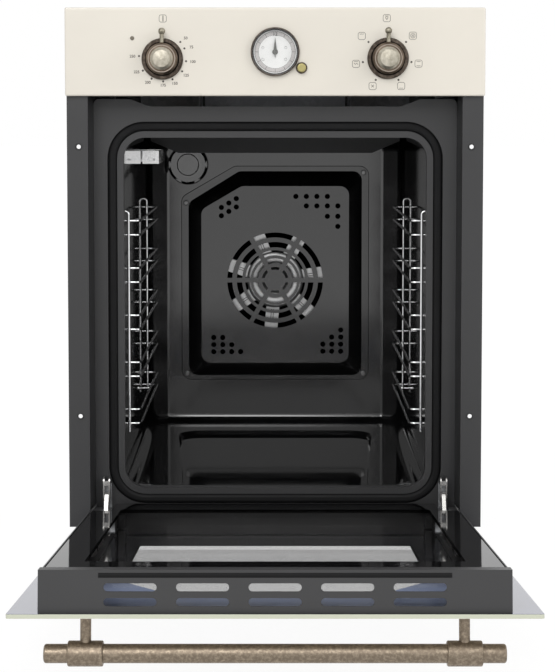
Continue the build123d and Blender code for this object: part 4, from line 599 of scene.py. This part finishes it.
ticks += [
    stroke(arc(clock_axis, inner_circle, 0, 360, round_steps), fine_line),
    stroke(arc(clock_axis, outer_circle, 0, 360, round_steps), outer_line),
    word("12", clock_axis + np.array((0.0, 0.0186)), 0.0036),
]
small_signs = ((-0.0131, 0.0045), (0.0113, 0.0045), (-0.0131, -0.0080), (0.0111, -0.0079))
small_radius = 0.0014
small_pointer = np.array((0.0, 0.0011))
for offset in small_signs:
    place = clock_axis + np.array(offset)
    ticks.append(stroke(arc(place, small_radius, 0, 360, 20), fine_line))
    ticks.append(stroke([place, place + small_pointer], fine_line))
print_on("clock_print", ticks, dial_face - 2 * print_gap, clock_ink, "oven")


def rings(name, places, profile, finish, body, sides=40):
    """Turned rings facing the viewer: (x + r cos t, y, z + r sin t) for each (r, y) of the closed profile."""
    turn = np.linspace(0.0, 2.0 * pi, sides, endpoint=False)
    radius, depth = np.asarray(profile, float).T
    count = len(radius)
    one = np.stack((
        np.outer(np.cos(turn), radius), np.tile(depth, (sides, 1)), np.outer(np.sin(turn), radius),
    ), axis=-1).reshape(-1, 3)
    corners = np.concatenate([one + np.array((x, 0.0, z)) for x, z in places])
    step, rung = np.meshgrid(np.arange(sides), np.arange(count), indexing="ij")
    here, after = step * count, (step + 1) % sides * count
    following = (rung + 1) % count
    quads = np.stack((here + rung, here + following, after + following, after + rung), axis=-1).reshape(-1, 4)
    faces = np.concatenate([quads + index * sides * count for index in range(len(places))])
    piece = add_piece(name, corners, faces.tolist(), finish, body)
    piece.data.polygons.foreach_set("use_smooth", np.ones(len(faces), dtype=bool))


# The fan wheel's middle plate, resting on the front of its arms, and painted shade along each arm: two dark
# strokes, one for each pressed rib
fan_axis = np.array((0.0, 0.262))
arm_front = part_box("fan_wheel")[0][1]
plate_bore = 0.0050
plate_flat_radius = 0.0320
plate_radius = 0.0372
plate_rounding = 0.0004
plate_front = arm_front - 0.0009
plate = (
    (plate_bore, arm_front), (plate_bore, plate_front), (plate_flat_radius, plate_front),
    (plate_radius - plate_rounding, plate_front + plate_rounding), (plate_radius, arm_front),
)
rings("fan_middle_plate", [fan_axis], plate, fan_sheet, "fan_wheel", 60)
first_arm = 8.0
arm_count = 7
rib_ends = (0.0395, 0.0520)
rib_offset = 0.0014
rib_width = 0.0008
arm_turns = np.radians(first_arm + np.arange(arm_count) * 360.0 / arm_count)
rib_shades = []
for way in np.stack((np.cos(arm_turns), np.sin(arm_turns)), axis=1):
    for offset in (-rib_offset, rib_offset):
        aside = offset * np.array((-way[1], way[0]))
        rib_shades.append(stroke([fan_axis + radius * way + aside for radius in rib_ends], rib_width))
print_on("fan_arm_rib_shade", rib_shades, arm_front - print_gap, painted_shade_ink, "fan_wheel")

# Black plastic grommets round the four cabinet screw holes
flange_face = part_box("cabinet_flanges")[0][1]
screws_height = 0.3013
screw_half_width = 0.2104
screw_half_height = 0.1456
screw_places = [
    (x, screws_height + z)
    for x in (-screw_half_width, screw_half_width) for z in (-screw_half_height, screw_half_height)
]
grommet_section = ((0.0024, 0.0), (0.0024, 0.0005), (0.0028, 0.0008), (0.0035, 0.0006), (0.0038, 0.0))
grommet = [(radius, flange_face - proud) for radius, proud in grommet_section]
rings("flange_grommets", screw_places, grommet, plastic, "oven")


def swept_strip(name, profile, half_length, finish, body):
    """A profile (y, z) carried along X from -half_length to half_length, with both ends closed."""
    profile = np.asarray(profile, float)
    count = len(profile)
    ends = [np.column_stack((np.full(count, x), profile)) for x in (-half_length, half_length)]
    rung = np.arange(count)
    following = (rung + 1) % count
    faces = np.stack((rung, following, following + count, rung + count), axis=1).tolist()
    faces += [rung[::-1].tolist(), (rung + count).tolist()]
    add_piece(name, np.concatenate(ends), faces, finish, body)


# A thin black strip along the top of the door's end cap
door_tilt = radians(6.0)
cap_top = np.array((-0.6997, 0.1040))
cap_outward = np.array((-cos(door_tilt), sin(door_tilt)))
cap_down = np.array((-sin(door_tilt), -cos(door_tilt)))
strip_section = ((-0.0002, 0.0026), (0.0006, 0.0029), (0.0009, 0.0044), (0.0007, 0.0060), (-0.0002, 0.0066))
strip_half_length = 0.1475
strip_profile = [cap_top + out * cap_outward + down * cap_down for out, down in strip_section]
swept_strip("door_cap_black_strip", strip_profile, strip_half_length, rubber, "door")

# Painted shade: a dark line round the fan cover's flange, where it meets the cavity's back wall, standing in
# for the contact shadow there
joint_half_width = 0.1243
joint_bottom = 0.1262
joint_top = 0.4113
joint_cut_start = (-0.0538, joint_top)
joint_cut_end = (-joint_half_width, 0.3703)
joint_corners = (
    (-joint_half_width, joint_bottom), (joint_half_width, joint_bottom), (joint_half_width, joint_top),
    joint_cut_start, joint_cut_end,
)
joint_radius = 0.0123
contact_shade_width = 0.0009
joint_gap = 0.0002


def rounded_loop(corners, radius, steps=8):
    """A closed path round a convex polygon, each corner an arc of the radius that both its sides touch."""
    corners = np.asarray(corners, float)
    path = []
    for before, here, after in zip(np.roll(corners, 1, 0), corners, np.roll(corners, -1, 0)):
        back_way = (before - here) / np.linalg.norm(before - here)
        on_way = (after - here) / np.linalg.norm(after - here)
        half_angle = np.arccos(np.dot(back_way, on_way)) / 2
        middle = (back_way + on_way) / np.linalg.norm(back_way + on_way)
        centre = here + middle * radius / sin(half_angle)
        start = here + back_way * radius / np.tan(half_angle) - centre
        turn = np.linspace(0.0, pi - 2 * half_angle, steps)[:, None]
        side = np.array((-start[1], start[0]))
        path.append(centre + start * np.cos(turn) + side * np.sin(turn))
    path = np.concatenate(path)
    return np.concatenate((path, path[:2]))


cavity_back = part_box("fan_cover")[1][1]
contact_shade = stroke(rounded_loop(joint_corners, joint_radius), contact_shade_width)
print_on("fan_cover_contact_shade", [contact_shade], cavity_back - joint_gap, painted_shade_ink, "oven")

# The studio: a pale floor, a white surround, one large soft lamp in front and above, and a weaker one beside
floor_reach = 20.0
floor_corners = [(x * floor_reach, y * floor_reach, 0.0) for x, y in ((-1, -1), (1, -1), (1, 1), (-1, 1))]
floor_glow = 0.94
floor_mesh = bpy.data.meshes.new("floor")
floor_mesh.from_pydata(floor_corners, [], [(0, 1, 2, 3)])
floor = bpy.data.objects.new("floor", floor_mesh)
scene.collection.objects.link(floor)
ground = Finish("studio_floor", Roughness=0.9)
seen = ground.node("ShaderNodeLightPath", output="Is Camera Ray")
glossed = ground.node("ShaderNodeLightPath", output="Is Glossy Ray")
passed = ground.node("ShaderNodeLightPath", output="Is Transmission Ray")
cloud = ground.ramp(ground.noise(3.0), 0.3, 0.7)
ground.feed(Base_Color=ground.blend(cloud, (0.80, 0.80, 0.80), (0.83, 0.83, 0.83)))
ground.over(
    ground.ramp(seen + glossed + passed, 0.0, 1.0) * floor_glow,
    Base_Color=(0, 0, 0), Roughness=1.0, Emission_Color=(1, 1, 1), Emission_Strength=1.0,
)
floor_mesh.materials.append(ground.material)

world = bpy.data.worlds.new("studio")
scene.world = world
world.use_nodes = True
tree = world.node_tree
light_path = tree.nodes.new("ShaderNodeLightPath")
surround_level = 0.55
level = tree.nodes.new("ShaderNodeMapRange")
level.inputs["To Min"].default_value = surround_level
level.inputs["To Max"].default_value = 1.0
shown = light_path.outputs["Is Camera Ray"]
for kind in ("Is Glossy Ray", "Is Transmission Ray"):
    either = tree.nodes.new("ShaderNodeMath")
    either.operation = "MAXIMUM"
    tree.links.new(shown, either.inputs[0])
    tree.links.new(light_path.outputs[kind], either.inputs[1])
    shown = either.outputs[0]
tree.links.new(shown, level.inputs["Value"])
tree.links.new(level.outputs[0], tree.nodes["Background"].inputs["Strength"])
tree.nodes["Background"].inputs["Color"].default_value = (1.0, 1.0, 1.0, 1.0)


def soft_lamp(name, place, aim, size, power):
    """A square area lamp at a place, turned so that its beam points at the aim."""
    data = bpy.data.lights.new(name, "AREA")
    data.size = size
    data.energy = power
    lamp = bpy.data.objects.new(name, data)
    lamp.location = place
    towards = np.array(aim) - np.array(place)
    flat = np.hypot(towards[0], towards[1])
    lamp.rotation_euler = (np.arctan2(flat, -towards[2]), 0, np.arctan2(-towards[0], towards[1]))
    scene.collection.objects.link(lamp)


lamps_aim = (0, 0, 0.3)
soft_lamp("front_softbox", (-0.6, -2.6, 1.9), lamps_aim, 1.6, 34)
soft_lamp("side_softbox", (1.9, -1.5, 1.2), lamps_aim, 1.2, 12)

# The camera stands in front of the upper half of the oven and looks down a little
camera_tilt = 3.65
camera_data = bpy.data.cameras.new("camera")
camera_data.lens = 93.161
camera_data.sensor_width = 36.0
camera_data.shift_x = 0.00351
camera_data.shift_y = -0.17391
camera = bpy.data.objects.new("camera", camera_data)
camera.location = (0.0, -2.1282, 0.4881)
camera.rotation_euler = (radians(90.0 - camera_tilt), 0.0, 0.0)
scene.collection.objects.link(camera)
scene.camera = camera
scene.view_settings.view_transform = "Standard"
